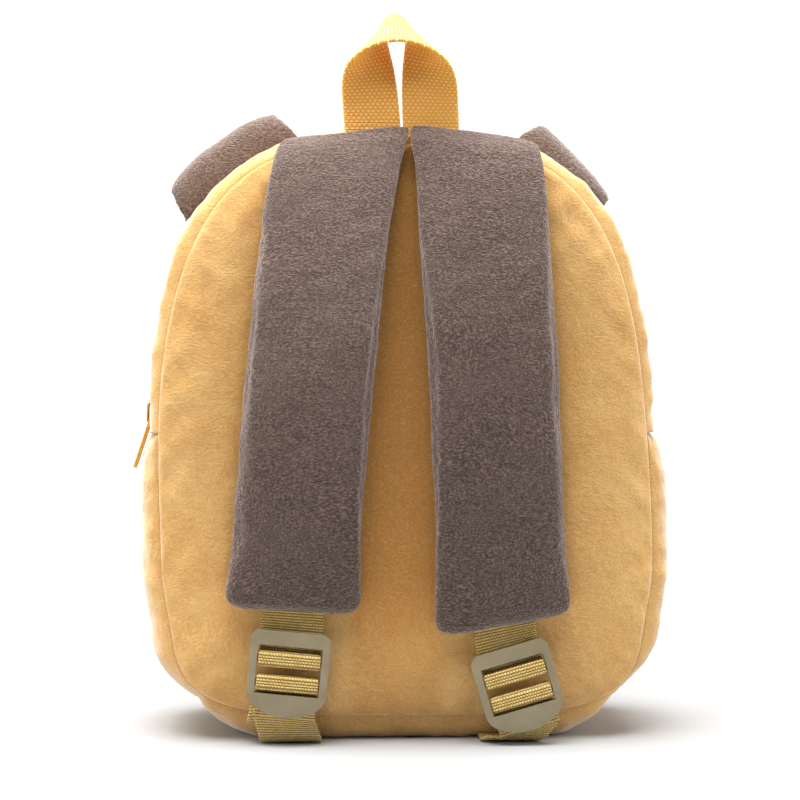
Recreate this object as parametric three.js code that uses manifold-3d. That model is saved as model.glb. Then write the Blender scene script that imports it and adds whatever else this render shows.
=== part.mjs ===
// A toddler's plush backpack, stuffed and standing on its base, closed by a zip that runs over its
// arch. Two padded shoulder straps hang down its back panel to ladder-lock buckles, a webbing grab
// loop is sewn into the top seam, and two flop ears are sewn into the front seam.
// Millimetres. +Z is up, +Y runs from the straps to the front panel, +X is to the right when the
// straps face you. The origin is on the floor, under the middle of the base.
import * as THREE from "three";
import { mergeVertices } from "three/addons/utils/BufferGeometryUtils.js";
import Module from "manifold-3d";

const wasm = await Module();
wasm.setup();

// Bag body: the outline of the two seams that join the panels to the side band
const SEAM_HALF_WIDTH = 99.5;
const SEAM_TOP = 242.2;
const SEAM_BOTTOM = 10;
const WIDEST_UP = 72;
const TOP_SWAY = -2.3; // the stuffed arch leans a little to one side
const SWAY_FROM = 60; // height where that lean starts, and where it is whole
const SWAY_TO = 150;
const ARCH_ROUNDNESS = 3.14; // superellipse exponents: 2 is an ellipse, more is squarer
const BASE_ROUNDNESS = 4.6;
const BASE_TAPER = 3.4; // how much the seams draw in towards the base, each side
const TAPER_REACH = 32; // over this much height below the widest point
const BAND_DEPTH = 80; // from the back seam to the front seam
const BACK_CROWN = 9; // how far each panel swells beyond its seam
const FRONT_CROWN = 15;
const PANEL_WALL = 3;
const BAND_WALL = 3;
const SEAM_GAP = 0.3; // clear space between two sewn pieces
const LOWER_BULGE = 9; // how far the band swells out of the line of the seams
const CORNER_BULGE = 3; // at the two bottom corners
const UPPER_BULGE = 5;
const BASE_SQUASH = 4.5; // how much more the band would swell down if the floor weren't there
const BASE_FROM = 58; // degrees below level: where the band turns under, and where it is the base
const BASE_TO = 84;
const ZIP_END_UP = 124; // where the zip stops and the lower band starts
const SHOULDER_RADIUS = 28; // rounding at the top of the lower band
const PINCHED_BULGE = 1.5; // what is left of the swelling where the band is sewn across

// Zip
const ZIP_OPENING = 11; // between the two folded plush edges
const ZIP_EDGE_RISE = 1.9; // the folded edges' outer face above the line of the seams
const TAPE_WIDTH = 13.6;
const TAPE_THICKNESS = 1;
const COIL_WIDTH = 5.4;
const COIL_HEIGHT = 2;
const SLIDER_LENGTH = 11;
const SLIDER_WIDTH = 8.6;
const SLIDER_PLATE = 1.1;
const SLIDER_FLANGE = 1;
const SLIDER_ABOVE_END = 6.4; // from the end of the zip to the slider's middle
const TUNNEL_HEIGHT = 3; // the puller's bar turns under the slider's bridge
const TUNNEL_LENGTH = 6.8;
const BRIDGE_BAR = 1.1;
const BRIDGE_WIDTH = 2.4;
const PULLER_LENGTH = 24;
const PULLER_WIDTH = 7;
const PULLER_THICKNESS = 1.5;
const PULLER_PLAY = 0.5; // between the puller's eye and the bridge
const PULLER_LEAN = 16.4; // degrees from hanging flat: it rests on the shoulder of the lower band

// Shoulder straps, from the top seam to the pad's lower end
const PAD_WIDTH = 50;
const PAD_THICKNESS = 11;
const PAD_ABOVE_SEAM = 3.2;
const PAD_TOP_UP = SEAM_TOP + PAD_ABOVE_SEAM;
const PAD_SEAT = 0.5; // clear space between a pad and the panel where it rests
const ARM_GAP = 9; // clear space behind the middle of a pad
const PADS = {
  left: { topX: -23.9, endX: -46.9, endUp: 55.5, splay: 0.6, roll: 7, topTurn: -5.9, endTurn: 2.5 },
  right: { topX: 25.6, endX: 38, endUp: 50.5, splay: 0.7, roll: -3, topTurn: 7.5, endTurn: -8 },
};

// Webbing and buckles
const WEB_WIDTH = 25;
const WEB_THICKNESS = 1.4;
const WEB_CLEAR = 0.3;
const BUCKLE_WIDTH = 32;
const BUCKLE_DEPTH = 4;
const WINDOW_HEIGHT = 19.6;
const WINDOW_PLAY = 0.45; // each side of the webbing
const TOP_BAR = 5.8;
const TONGUE_LENGTH = 9.2;
const LADDER_BAR = { width: 3, depth: 2.2 };
const UPPER_BAR_AT = 4.2; // the ladder bars' middles, from the middle of the window
const LOWER_BAR_AT = -5.4;
const TAIL_UP = 0.4; // the free end's underside above the floor
const TAIL_BACK = 4.5; // how far it curves in towards the bag on its way down
const TAIL_TUCK = 12; // how far the free end reaches under the bag
const TAIL_BEND = 5;
const ANCHOR_BEND = 3;
const BUCKLES = {
  left: { x: -48.6, up: 30.8, turn: 5.7, anchorX: -52.9, tailX: -46.4 },
  right: { x: 43.3, up: 24.6, turn: -16, anchorX: 43.4, tailX: 41.3 },
};

// Grab loop
const LOOP_WIDTH = 22.6;
const LOOP_THICKNESS = 1.6;
const LOOP_RISE = 50.8; // the far edge of the webbing above the seam, at the top
const LOOP_NEAR_RISE = 38.4; // and its near edge
const LOOP_LEAN = -3.1; // how far the loop's top leans to one side
const LOOP_SPLIT = 0.7; // between the two ends where they are sewn side by side
const LOOP_SEAT = 1.1; // the loop's ends stand this far behind the back seam

// Ears: a flap that rises from the front seam, folds and hangs over the front panel
const EAR_THICKNESS = 5;
const EAR_FOLD_DEPTH = 12; // between the middles of the rising half and the hanging half
const EAR_DROP = 46; // from the fold down to the tip
// alongArch: place from the middle, as a share of the seams' half width; bow: how much further the
// middle of the fold stands out than its ends
const EARS = {
  left: { alongArch: -0.646, width: 66, rise: 17, turn: -3.4, bow: 3.4 },
  right: { alongArch: 0.67, width: 54, rise: 19.2, turn: -4.5, bow: 0.6 },
};

// Facets
const OUTLINE_SAMPLES = 960;
const PANEL_SPOKES = 60;
const PANEL_RINGS = [1, 0.985, 0.94, 0.85, 0.65, 0.35, 0];
const BAND_STEPS = 42;
const ARCH_STEPS = 32;
const PAD_SIDES = 16;
const EAR_SIDES = 12;
const BEND_STEP = 30; // degrees
const LOOP_STEPS = 26;

const HALF_DEPTH = BAND_DEPTH / 2;
const radians = THREE.MathUtils.degToRad;
const lerp = THREE.MathUtils.lerp;
const smooth = THREE.MathUtils.smoothstep;
const point = (x, y, z) => new THREE.Vector3(x, y, z);

// A power that keeps its sign, for superellipses
function signedPower(value, power) {
  return Math.sign(value) * Math.abs(value) ** power;
}

// Colours as the eye sees them
const MATERIALS = {
  plush: { color: "#dcb274", roughness: 0.95, metalness: 0 },
  plushDark: { color: "#75655f", roughness: 0.95, metalness: 0 },
  webbing: { color: "#c9a24c", roughness: 0.8, metalness: 0 },
  loopWebbing: { color: "#dfa63a", roughness: 0.75, metalness: 0 },
  buckle: { color: "#9c8f74", roughness: 0.45, metalness: 0 },
  zipTape: { color: "#d99a35", roughness: 0.8, metalness: 0 },
  zipMetal: { color: "#cf8f22", roughness: 0.4, metalness: 0.2 },
};

const backpack = new THREE.Group();
backpack.name = "plush_backpack";

function addPiece(name, geometry, finish) {
  const mesh = new THREE.Mesh(geometry, new THREE.MeshStandardMaterial(MATERIALS[finish]));
  mesh.name = name;
  backpack.add(mesh);
}

// Volume enclosed by triangles, negative when they face inwards
function signedVolume(vertices, triangles) {
  return triangles.reduce((sum, [a, b, c]) => {
    const [p, q, r] = [vertices[a], vertices[b], vertices[c]];
    return sum + p.dot(q.clone().cross(r)) / 6;
  }, 0);
}

// A closed body from its vertices and triangles, with its faces turned outwards
function closedBody(vertices, triangles) {
  const outward = signedVolume(vertices, triangles) > 0;
  const faces = outward ? triangles : triangles.map(([a, b, c]) => [a, c, b]);
  const geometry = new THREE.BufferGeometry();
  const places = vertices.flatMap((v) => v.toArray());
  geometry.setAttribute("position", new THREE.Float32BufferAttribute(places, 3));
  geometry.setIndex(faces.flat());
  geometry.computeVertexNormals();
  return geometry;
}

// A body lofted through closed loops of equal count, with a fan over each end
function loftLoops(loops) {
  const sides = loops[0].length;
  const vertices = loops.flat();
  const triangles = [];
  for (let row = 0; row + 1 < loops.length; row++) {
    for (let k = 0; k < sides; k++) {
      const next = (k + 1) % sides;
      const [a, b] = [row * sides + k, row * sides + next];
      const [c, d] = [a + sides, b + sides];
      triangles.push([a, b, d], [a, d, c]);
    }
  }
  for (const row of [0, loops.length - 1]) {
    const middle = loops[row].reduce((sum, v) => sum.add(v), point(0, 0, 0)).divideScalar(sides);
    const hub = vertices.push(middle) - 1;
    for (let k = 0; k < sides; k++) {
      const [a, b] = [row * sides + k, row * sides + ((k + 1) % sides)];
      triangles.push(row === 0 ? [hub, b, a] : [hub, a, b]);
    }
  }
  return closedBody(vertices, triangles);
}

// A wall between an outer and an inner grid of equal size, closed along its four edges
function wallBetween(outer, inner) {
  const [rows, columns] = [outer.length, outer[0].length];
  const vertices = [...outer.flat(), ...inner.flat()];
  const inside = rows * columns;
  const triangles = [];
  const quad = (a, b, c, d) => triangles.push([a, b, c], [a, c, d]);
  for (let row = 0; row + 1 < rows; row++) {
    for (let k = 0; k + 1 < columns; k++) {
      const a = row * columns + k;
      const [b, c, d] = [a + 1, a + columns + 1, a + columns];
      quad(a, b, c, d);
      quad(inside + a, inside + d, inside + c, inside + b);
    }
  }
  for (let k = 0; k + 1 < columns; k++) {
    const last = (rows - 1) * columns + k;
    quad(k, inside + k, inside + k + 1, k + 1);
    quad(last, last + 1, inside + last + 1, inside + last);
  }
  for (let row = 0; row + 1 < rows; row++) {
    const first = row * columns;
    const end = first + columns - 1;
    quad(first, first + columns, inside + first + columns, inside + first);
    quad(end, inside + end, inside + end + columns, end + columns);
  }
  return closedBody(vertices, triangles);
}

// A domed wall: rings of spokes from the rim to a hub, outside and inside, joined at the rim
function domeBetween(outerRings, innerRings) {
  const spokes = outerRings[0].length;
  const vertices = [];
  const triangles = [];
  for (const rings of [outerRings, innerRings]) {
    const start = vertices.length;
    const flip = rings === innerRings;
    const face = (a, b, c) => triangles.push(flip ? [a, c, b] : [a, b, c]);
    const hubRow = rings.length - 1;
    rings.slice(0, hubRow).forEach((ring) => vertices.push(...ring));
    const hub = vertices.push(rings[hubRow][0]) - 1;
    for (let row = 0; row < hubRow; row++) {
      for (let k = 0; k < spokes; k++) {
        const next = (k + 1) % spokes;
        const [a, b] = [start + row * spokes + k, start + row * spokes + next];
        if (row + 1 === hubRow) {
          face(a, b, hub);
          continue;
        }
        face(a, b, b + spokes);
        face(a, b + spokes, a + spokes);
      }
    }
  }
  const inside = vertices.length / 2;
  for (let k = 0; k < spokes; k++) {
    const next = (k + 1) % spokes;
    triangles.push([k, inside + next, next], [k, inside + k, inside + next]);
  }
  return closedBody(vertices, triangles);
}

// A solid of the manifold library from a closed three.js geometry
function solidFrom(geometry) {
  const bare = geometry.index ? geometry.toNonIndexed() : geometry.clone();
  bare.deleteAttribute("normal");
  bare.deleteAttribute("uv");
  const merged = mergeVertices(bare, 1e-4);
  const triVerts = new Uint32Array(merged.index.array);
  const vertProperties = merged.attributes.position.array;
  return new wasm.Manifold(new wasm.Mesh({ numProp: 3, vertProperties, triVerts }));
}

function geometryFrom(solid) {
  const mesh = solid.getMesh();
  const geometry = new THREE.BufferGeometry();
  geometry.setAttribute("position", new THREE.Float32BufferAttribute(mesh.vertProperties, 3));
  geometry.setIndex([...mesh.triVerts]);
  geometry.computeVertexNormals();
  return geometry;
}

function joined(geometries) {
  return geometryFrom(geometries.map(solidFrom).reduce((sum, solid) => sum.add(solid)));
}

// How far the bag leans to the side at a height
function swayAt(up) {
  return TOP_SWAY * smooth(up, SWAY_FROM, SWAY_TO);
}

// Half the seams' width at a height, drawn in towards the base
function halfWidthAt(up) {
  return SEAM_HALF_WIDTH - BASE_TAPER * smooth(WIDEST_UP - up, 0, TAPER_REACH);
}

// Seam outline: a superellipse with one roundness above its widest point and another below
function outlineAtAngle(angle) {
  const above = Math.sin(angle) >= 0;
  const roundness = above ? ARCH_ROUNDNESS : BASE_ROUNDNESS;
  const reach = above ? SEAM_TOP - WIDEST_UP : WIDEST_UP - SEAM_BOTTOM;
  const up = WIDEST_UP + reach * signedPower(Math.sin(angle), 2 / roundness);
  return { x: halfWidthAt(up) * signedPower(Math.cos(angle), 2 / roundness) + swayAt(up), up };
}

// Samples of the outline with their running length, from the bottom up the right side and round
const outline = (() => {
  const samples = [];
  let length = 0;
  for (let k = 0; k <= OUTLINE_SAMPLES; k++) {
    const here = outlineAtAngle((2 * Math.PI * k) / OUTLINE_SAMPLES - Math.PI / 2);
    const last = samples.at(-1);
    if (last) length += Math.hypot(here.x - last.x, here.up - last.up);
    samples.push({ ...here, run: length });
  }
  return { samples, length };
})();

// The outline at a share of its length: 0 is the middle of the base and 0.5 the top of the arch
function outlineAt(share) {
  const run = (share - Math.floor(share)) * outline.length;
  const after = outline.samples.findIndex((s) => s.run > run);
  const [a, b] = [outline.samples[after - 1], outline.samples[after]];
  const t = (run - a.run) / (b.run - a.run);
  return { x: lerp(a.x, b.x, t), up: lerp(a.up, b.up, t) };
}

// A place on the outline with its outward normal, taken over a short stretch
function outlineFrame(share) {
  const step = 1 / OUTLINE_SAMPLES;
  const [before, after] = [outlineAt(share - step), outlineAt(share + step)];
  const along = new THREE.Vector2(after.x - before.x, after.up - before.up).normalize();
  const here = outlineAt(share);
  return { x: here.x, up: here.up, outX: along.y, outUp: -along.x };
}

// How far out from the hub a place on a panel lies: 0 at the hub, 1 on the seam
function seamShare(x, up) {
  const above = up >= WIDEST_UP;
  const roundness = above ? ARCH_ROUNDNESS : BASE_ROUNDNESS;
  const reach = above ? SEAM_TOP - WIDEST_UP : WIDEST_UP - SEAM_BOTTOM;
  const across = Math.abs((x - swayAt(up)) / halfWidthAt(up)) ** roundness;
  return (across + Math.abs((up - WIDEST_UP) / reach) ** roundness) ** (1 / roundness);
}

// Height of a panel's dome: flat over its middle and rolled over towards the seam
function domeHeight(share) {
  return Math.sqrt(Math.max(0, 1 - Math.min(share, 1) ** 4));
}

function panelSurface(x, up, crown) {
  return HALF_DEPTH + SEAM_GAP / 2 + crown * domeHeight(seamShare(x, up));
}

// The back or front panel, side -1 or 1, a domed wall inside its seam
function panel(side, crown) {
  const rings = (inset, dome) =>
    PANEL_RINGS.map((share) =>
      Array.from({ length: PANEL_SPOKES }, (_, k) => {
        const rim = outlineFrame(k / PANEL_SPOKES);
        const [rimX, rimUp] = [rim.x - rim.outX * inset, rim.up - rim.outUp * inset];
        const up = lerp(WIDEST_UP, rimUp, share);
        const x = (rimX - swayAt(rimUp)) * share + swayAt(up);
        return point(x, side * (HALF_DEPTH + SEAM_GAP / 2 + dome * domeHeight(share)), up);
      }),
    );
  return domeBetween(rings(0, crown), rings(PANEL_WALL, crown - PANEL_WALL));
}

// Share of the outline at which the zip ends, on the right side
const zipEndShare = (() => {
  const found = outline.samples.find((s) => s.x > 0 && s.up >= ZIP_END_UP);
  return found.run / outline.length;
})();

// The lower band's swelling at a distance from where it is sewn to the zip's end
function lowerBulge(fromEnd, outUp) {
  const round = Math.sqrt(1 - (1 - Math.min(fromEnd / SHOULDER_RADIUS, 1)) ** 2);
  const side = lerp(LOWER_BULGE, CORNER_BULGE, smooth(-outUp, 0.05, 0.7));
  const under = SEAM_BOTTOM + BASE_SQUASH;
  const below = Math.asin(Math.min(-outUp, 1));
  const turnedUnder = (below - radians(BASE_FROM)) / radians(BASE_TO - BASE_FROM);
  return lerp(lerp(PINCHED_BULGE, side, round), under, THREE.MathUtils.clamp(turnedUnder, 0, 1));
}

// The lower band: sides and base in one piece, flat where it rests on the floor
function lowerBand() {
  const across = [-1, -0.97, -0.88, -0.66, -0.34, 0, 0.34, 0.66, 0.88, 0.97, 1];
  const end = zipEndShare - SEAM_GAP / 2 / outline.length;
  const [outer, inner] = [[], []];
  for (let k = 0; k <= BAND_STEPS; k++) {
    // Rows crowd towards both ends, where the shoulders turn
    const t = Math.sin(((2 * k) / BAND_STEPS - 1) * (Math.PI / 2));
    const share = end * lerp((2 * k) / BAND_STEPS - 1, t, 0.75);
    const rim = outlineFrame(share);
    const bulge = lowerBulge((end - Math.abs(share)) * outline.length, rim.outUp);
    const rows = across.map((v) => {
      const out = bulge * Math.sqrt(1 - Math.abs(v) ** 4);
      const depth = v * (HALF_DEPTH - SEAM_GAP / 2);
      const up = Math.max(0, rim.up + rim.outUp * out);
      const place = point(rim.x + rim.outX * out, depth, up);
      return [place, point(place.x - rim.outX * BAND_WALL, depth, up - rim.outUp * BAND_WALL)];
    });
    outer.push(rows.map((r) => r[0]));
    inner.push(rows.map((r) => r[1]));
  }
  return wallBetween(outer, inner);
}

// How far the upper band has swollen at a distance from its sewn end, as a share
function archSwell(fromEnd) {
  return lerp(0.72, 1, smooth(fromEnd, 0, SHOULDER_RADIUS));
}

// Places along the arch between the zip's two ends, each with its distance from the nearer end
function archStations(startGap, endGap, steps) {
  const from = zipEndShare + startGap / outline.length;
  const to = 1 - zipEndShare - endGap / outline.length;
  return Array.from({ length: steps + 1 }, (_, k) => {
    const share = lerp(from, to, k / steps);
    const nearer = Math.min(share - zipEndShare, 1 - zipEndShare - share);
    return { ...outlineFrame(share), fromEnd: nearer * outline.length };
  });
}

// A place over the outline: out from the seam line, at a depth
function overOutline(rim, out, depth) {
  return point(rim.x + rim.outX * out, depth, rim.up + rim.outUp * out);
}

// One plush strip of the upper band, from its seam to its folded edge along the zip
function archStrip(side) {
  // across: share of the way from the seam to the zip; rise: share of the upper band's bulge
  const profile = [
    { across: 0, rise: 0 },
    { across: 0.04, rise: 0.42 },
    { across: 0.14, rise: 0.78 },
    { across: 0.36, rise: 1 },
    { across: 0.62, rise: 0.96 },
    { across: 0.88, rise: 0.74 },
    { across: 1, rise: ZIP_EDGE_RISE / UPPER_BULGE },
  ];
  const from = HALF_DEPTH - SEAM_GAP / 2;
  const to = ZIP_OPENING / 2;
  const edgeInner = ZIP_EDGE_RISE - BAND_WALL;
  const [outer, inner] = [[], []];
  for (const rim of archStations(SEAM_GAP / 2, SEAM_GAP / 2, ARCH_STEPS)) {
    const swell = archSwell(rim.fromEnd);
    const rows = profile.map(({ across, rise }) => {
      const out = UPPER_BULGE * rise * swell;
      const depth = side * lerp(from, to, across);
      const under = across === 1 ? edgeInner * swell : out - BAND_WALL;
      return [overOutline(rim, out, depth), overOutline(rim, under, depth)];
    });
    outer.push(rows.map((r) => r[0]));
    inner.push(rows.map((r) => r[1]));
  }
  return wallBetween(outer, inner);
}

// The height of the zip tape's outer face over the seam line
function tapeTop(fromEnd) {
  return (ZIP_EDGE_RISE - BAND_WALL) * archSwell(fromEnd) - SEAM_GAP;
}

// A flat bar along the arch, from one depth to another and from one height over the tape to another
function archBar(stations, depths, heights) {
  const loops = stations.map((rim) => {
    const base = tapeTop(rim.fromEnd);
    return [
      overOutline(rim, base + heights[0], depths[0]),
      overOutline(rim, base + heights[0], depths[1]),
      overOutline(rim, base + heights[1], depths[1]),
      overOutline(rim, base + heights[1], depths[0]),
    ];
  });
  return loftLoops(loops);
}

function zipTape(side) {
  const inner = side * SEAM_GAP;
  const stations = archStations(SEAM_GAP, SEAM_GAP, ARCH_STEPS);
  return archBar(stations, [inner, side * TAPE_WIDTH], [-TAPE_THICKNESS, 0]);
}

// The closed coil runs from a stop at the right end to the middle of the slider
function zipCoil() {
  const stations = archStations(SLIDER_LENGTH / 2, SLIDER_ABOVE_END, ARCH_STEPS);
  const half = COIL_WIDTH / 2;
  return archBar(stations, [-half, half], [SEAM_GAP, SEAM_GAP + COIL_HEIGHT]);
}

// The slider's place: X out from the bag, Y along depth, Z up the zip
const sliderShare = 1 - zipEndShare - SLIDER_ABOVE_END / outline.length;
const sliderRim = outlineFrame(sliderShare);
const coilTop = tapeTop(SLIDER_ABOVE_END) + SEAM_GAP + COIL_HEIGHT;
const plateTop = coilTop + SEAM_GAP + SLIDER_PLATE;
const pullerAxisOut = plateTop + TUNNEL_HEIGHT / 2;

function toSliderPlace(geometry) {
  const out = point(sliderRim.outX, 0, sliderRim.outUp);
  const upZip = point(-sliderRim.outUp, 0, sliderRim.outX).negate();
  const basis = new THREE.Matrix4().makeBasis(out, out.clone().cross(upZip).negate(), upZip);
  basis.setPosition(sliderRim.x, 0, sliderRim.up);
  return geometry.applyMatrix4(basis);
}

// Points in a plane become a shape, and a shape a slab centred on its plane
function slab(shape, thickness) {
  const geometry = new THREE.ExtrudeGeometry(shape, { depth: thickness, bevelEnabled: false });
  return geometry.translate(0, 0, -thickness / 2);
}

function rectangle(x0, y0, x1, y1) {
  return new THREE.Shape([
    new THREE.Vector2(x0, y0),
    new THREE.Vector2(x1, y0),
    new THREE.Vector2(x1, y1),
    new THREE.Vector2(x0, y1),
  ]);
}

// The slider: a plate over the coil with a flange down each side, and a bridge for the puller
function zipSlider() {
  const half = SLIDER_WIDTH / 2;
  const flangeFoot = tapeTop(SLIDER_ABOVE_END) + SEAM_GAP;
  const saddle = new THREE.Shape([
    new THREE.Vector2(flangeFoot, -half),
    new THREE.Vector2(plateTop, -half),
    new THREE.Vector2(plateTop, half),
    new THREE.Vector2(flangeFoot, half),
    new THREE.Vector2(flangeFoot, half - SLIDER_FLANGE),
    new THREE.Vector2(plateTop - SLIDER_PLATE, half - SLIDER_FLANGE),
    new THREE.Vector2(plateTop - SLIDER_PLATE, -half + SLIDER_FLANGE),
    new THREE.Vector2(flangeFoot, -half + SLIDER_FLANGE),
  ]);
  const halfTunnel = TUNNEL_LENGTH / 2;
  const halfBridge = halfTunnel + BRIDGE_BAR;
  const bridgeTop = plateTop + TUNNEL_HEIGHT + BRIDGE_BAR;
  const sunk = plateTop - SLIDER_PLATE / 2;
  const bridge = new THREE.Shape([
    new THREE.Vector2(sunk, -halfBridge),
    new THREE.Vector2(bridgeTop - BRIDGE_BAR, -halfBridge),
    new THREE.Vector2(bridgeTop, -halfTunnel),
    new THREE.Vector2(bridgeTop, halfTunnel),
    new THREE.Vector2(bridgeTop - BRIDGE_BAR, halfBridge),
    new THREE.Vector2(sunk, halfBridge),
  ]);
  bridge.holes.push(rectangle(plateTop, -halfTunnel, bridgeTop - BRIDGE_BAR, halfTunnel));
  // The bridge's profile stands in the plane of out and up, so it is turned from XY to XZ
  const upright = slab(bridge, BRIDGE_WIDTH).rotateX(Math.PI / 2);
  return toSliderPlace(joined([slab(saddle, SLIDER_LENGTH), upright]));
}

// The puller hangs from a bar that turns under the bridge, and leans out over the lower band
function zipPuller() {
  const half = PULLER_WIDTH / 2;
  const halfEye = BRIDGE_WIDTH / 2 + PULLER_PLAY;
  const bar = PULLER_THICKNESS / 2;
  const eyeEnd = TUNNEL_LENGTH / 2 + BRIDGE_BAR + PULLER_PLAY;
  const cornered = 2;
  const shape = new THREE.Shape([
    new THREE.Vector2(-half, bar),
    new THREE.Vector2(-half, -PULLER_LENGTH + cornered),
    new THREE.Vector2(-half + cornered, -PULLER_LENGTH),
    new THREE.Vector2(half - cornered, -PULLER_LENGTH),
    new THREE.Vector2(half, -PULLER_LENGTH + cornered),
    new THREE.Vector2(half, bar),
  ]);
  shape.holes.push(rectangle(-halfEye, -eyeEnd, halfEye, -bar));
  // Drawn in XY, then stood up so that it faces out, and leant out about its bar
  const geometry = slab(shape, PULLER_THICKNESS).rotateX(Math.PI / 2).rotateZ(Math.PI / 2);
  geometry.rotateY(-radians(PULLER_LEAN)).translate(pullerAxisOut, 0, 0);
  return toSliderPlace(geometry);
}

// Points of a flattened round section, wide along one direction and thick along another
function roundSection(centre, wide, thick, width, thickness, sides, squareness) {
  return Array.from({ length: sides }, (_, k) => {
    const angle = (2 * Math.PI * (k + 0.5)) / sides;
    const across = (width / 2) * signedPower(Math.cos(angle), 2 / squareness);
    const deep = (thickness / 2) * signedPower(Math.sin(angle), 2 / squareness);
    return centre.clone().addScaledVector(wide, across).addScaledVector(thick, deep);
  });
}

// Stations of a pad. down: share of the drop from its top to its end; gap: share of the way from
// resting on the panel to standing clear of it; thick and wide: shares of the pad's own section
const PAD_STATIONS = [
  { down: 0, gap: 0, thick: 0.34, wide: 0.95 },
  { down: 0.012, gap: 0, thick: 0.46, wide: 0.97 },
  { down: 0.035, gap: 0.02, thick: 0.66, wide: 1 },
  { down: 0.08, gap: 0.1, thick: 0.86, wide: 1 },
  { down: 0.15, gap: 0.3, thick: 0.97, wide: 1 },
  { down: 0.25, gap: 0.62, thick: 1, wide: 1 },
  { down: 0.36, gap: 0.9, thick: 1, wide: 1 },
  { down: 0.48, gap: 1, thick: 1, wide: 1 },
  { down: 0.6, gap: 0.94, thick: 1, wide: 1 },
  { down: 0.72, gap: 0.72, thick: 1, wide: 1 },
  { down: 0.83, gap: 0.42, thick: 1, wide: 1 },
  { down: 0.92, gap: 0.16, thick: 0.98, wide: 1 },
  { down: 0.965, gap: 0.06, thick: 0.9, wide: 1 },
  { down: 0.988, gap: 0.02, thick: 0.74, wide: 0.99 },
  { down: 1, gap: 0, thick: 0.5, wide: 0.95 },
];

// The middle of a pad's underside at a station: past the loop's ends at the top, then standing off
// the panel as far as an arm's gap or the pad's own roll needs
function padUnderside(pad, { down, gap }) {
  const x = lerp(pad.topX, pad.endX, down ** pad.splay);
  const up = lerp(PAD_TOP_UP, pad.endUp, down);
  const edges = [x - PAD_WIDTH / 2, x, x + PAD_WIDTH / 2];
  const surface = Math.max(...edges.map((edge) => panelSurface(edge, up, BACK_CROWN)));
  const lift = (Math.abs(Math.sin(radians(pad.roll))) * PAD_WIDTH) / 2;
  const loopEnds = (LOOP_SEAT + LOOP_THICKNESS / 2 + SEAM_GAP) * (1 - smooth(down, 0.01, 0.05));
  const clear = PAD_SEAT + loopEnds + Math.max(gap * ARM_GAP, lift * padRoll(down));
  return point(x, -surface - clear, up);
}

// The share of a pad's roll at a share of its drop: it lies flat at both sewn ends
function padRoll(down) {
  return smooth(down, 0.05, 0.3) * (1 - smooth(down, 0.8, 1));
}

// A pad's sections: each has its middle and its directions across, along and away from the bag.
// At its ends a pad is cut to the slope of the seam and of the buckle
function padSections(pad) {
  const unders = PAD_STATIONS.map((station) => padUnderside(pad, station));
  return PAD_STATIONS.map((station, k) => {
    const before = unders[Math.max(k - 1, 0)];
    const after = unders[Math.min(k + 1, unders.length - 1)];
    const down = point(0, after.y - before.y, after.z - before.z).normalize();
    const roll = radians(pad.roll) * padRoll(station.down);
    const level = point(Math.cos(roll), -Math.sin(roll), 0);
    level.addScaledVector(down, -level.dot(down)).normalize();
    const away = down.clone().cross(level).normalize();
    const topTurn = pad.topTurn * (1 - smooth(station.down, 0, 0.2));
    const turn = radians(topTurn + pad.endTurn * smooth(station.down, 0.8, 1));
    const wide = level.multiplyScalar(Math.cos(turn)).addScaledVector(down, Math.sin(turn));
    const thickness = PAD_THICKNESS * station.thick;
    const centre = unders[k].clone().addScaledVector(away, thickness / 2);
    const along = wide.clone().cross(away);
    return { centre, along, wide, away, thickness, width: PAD_WIDTH * station.wide };
  });
}

function shoulderPad(pad) {
  return loftLoops(
    padSections(pad).map(({ centre, wide, away, width, thickness }) =>
      roundSection(centre, wide, away, width, thickness, PAD_SIDES, 3),
    ),
  );
}

// A corner of a ribbon's route: its place, its direction across the ribbon and its bend's radius
function corner(at, wide, bend = tightBend) {
  return { at, wide, bend };
}

// A route with each corner turned into an arc
function roundedRoute(corners) {
  return corners.flatMap((here, k) => {
    if (k === 0 || k === corners.length - 1) return [here];
    const back = corners[k - 1].at.clone().sub(here.at).normalize();
    const on = corners[k + 1].at.clone().sub(here.at).normalize();
    const turn = Math.PI - back.angleTo(on);
    if (turn < radians(1)) return [here];
    const towards = back.clone().add(on).normalize();
    const centre = here.at.clone().addScaledVector(towards, here.bend / Math.cos(turn / 2));
    const reach = here.bend * Math.tan(turn / 2);
    const first = here.at.clone().addScaledVector(back, reach).sub(centre);
    const last = here.at.clone().addScaledVector(on, reach).sub(centre);
    const steps = Math.ceil(turn / radians(BEND_STEP));
    return Array.from({ length: steps + 1 }, (_, i) => {
      const [a, b] = [1 - i / steps, i / steps].map((t) => Math.sin(t * turn) / Math.sin(turn));
      const at = centre.clone().addScaledVector(first, a).addScaledVector(last, b);
      return { at, wide: here.wide };
    });
  });
}

// A flat ribbon of one thickness along a route, mitred where it bends
function ribbon(corners, width, thickness) {
  const route = roundedRoute(corners);
  const loops = route.map(({ at, wide }, k) => {
    const from = route[Math.max(k - 1, 0)].at;
    const to = route[Math.min(k + 1, route.length - 1)].at;
    const arriving = (k === 0 ? to : at).clone().sub(k === 0 ? at : from).normalize();
    const leaving = (at === to ? at : to).clone().sub(at === to ? from : at).normalize();
    const along = arriving.clone().add(leaving).normalize();
    const thick = along.clone().cross(wide).normalize();
    const mitre = thickness / 2 / along.dot(leaving);
    const place = (across, deep) =>
      at.clone().addScaledVector(wide, (across * width) / 2).addScaledVector(thick, deep * mitre);
    return [place(-1, -1), place(1, -1), place(1, 1), place(-1, 1)];
  });
  return loftLoops(loops);
}

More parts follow.
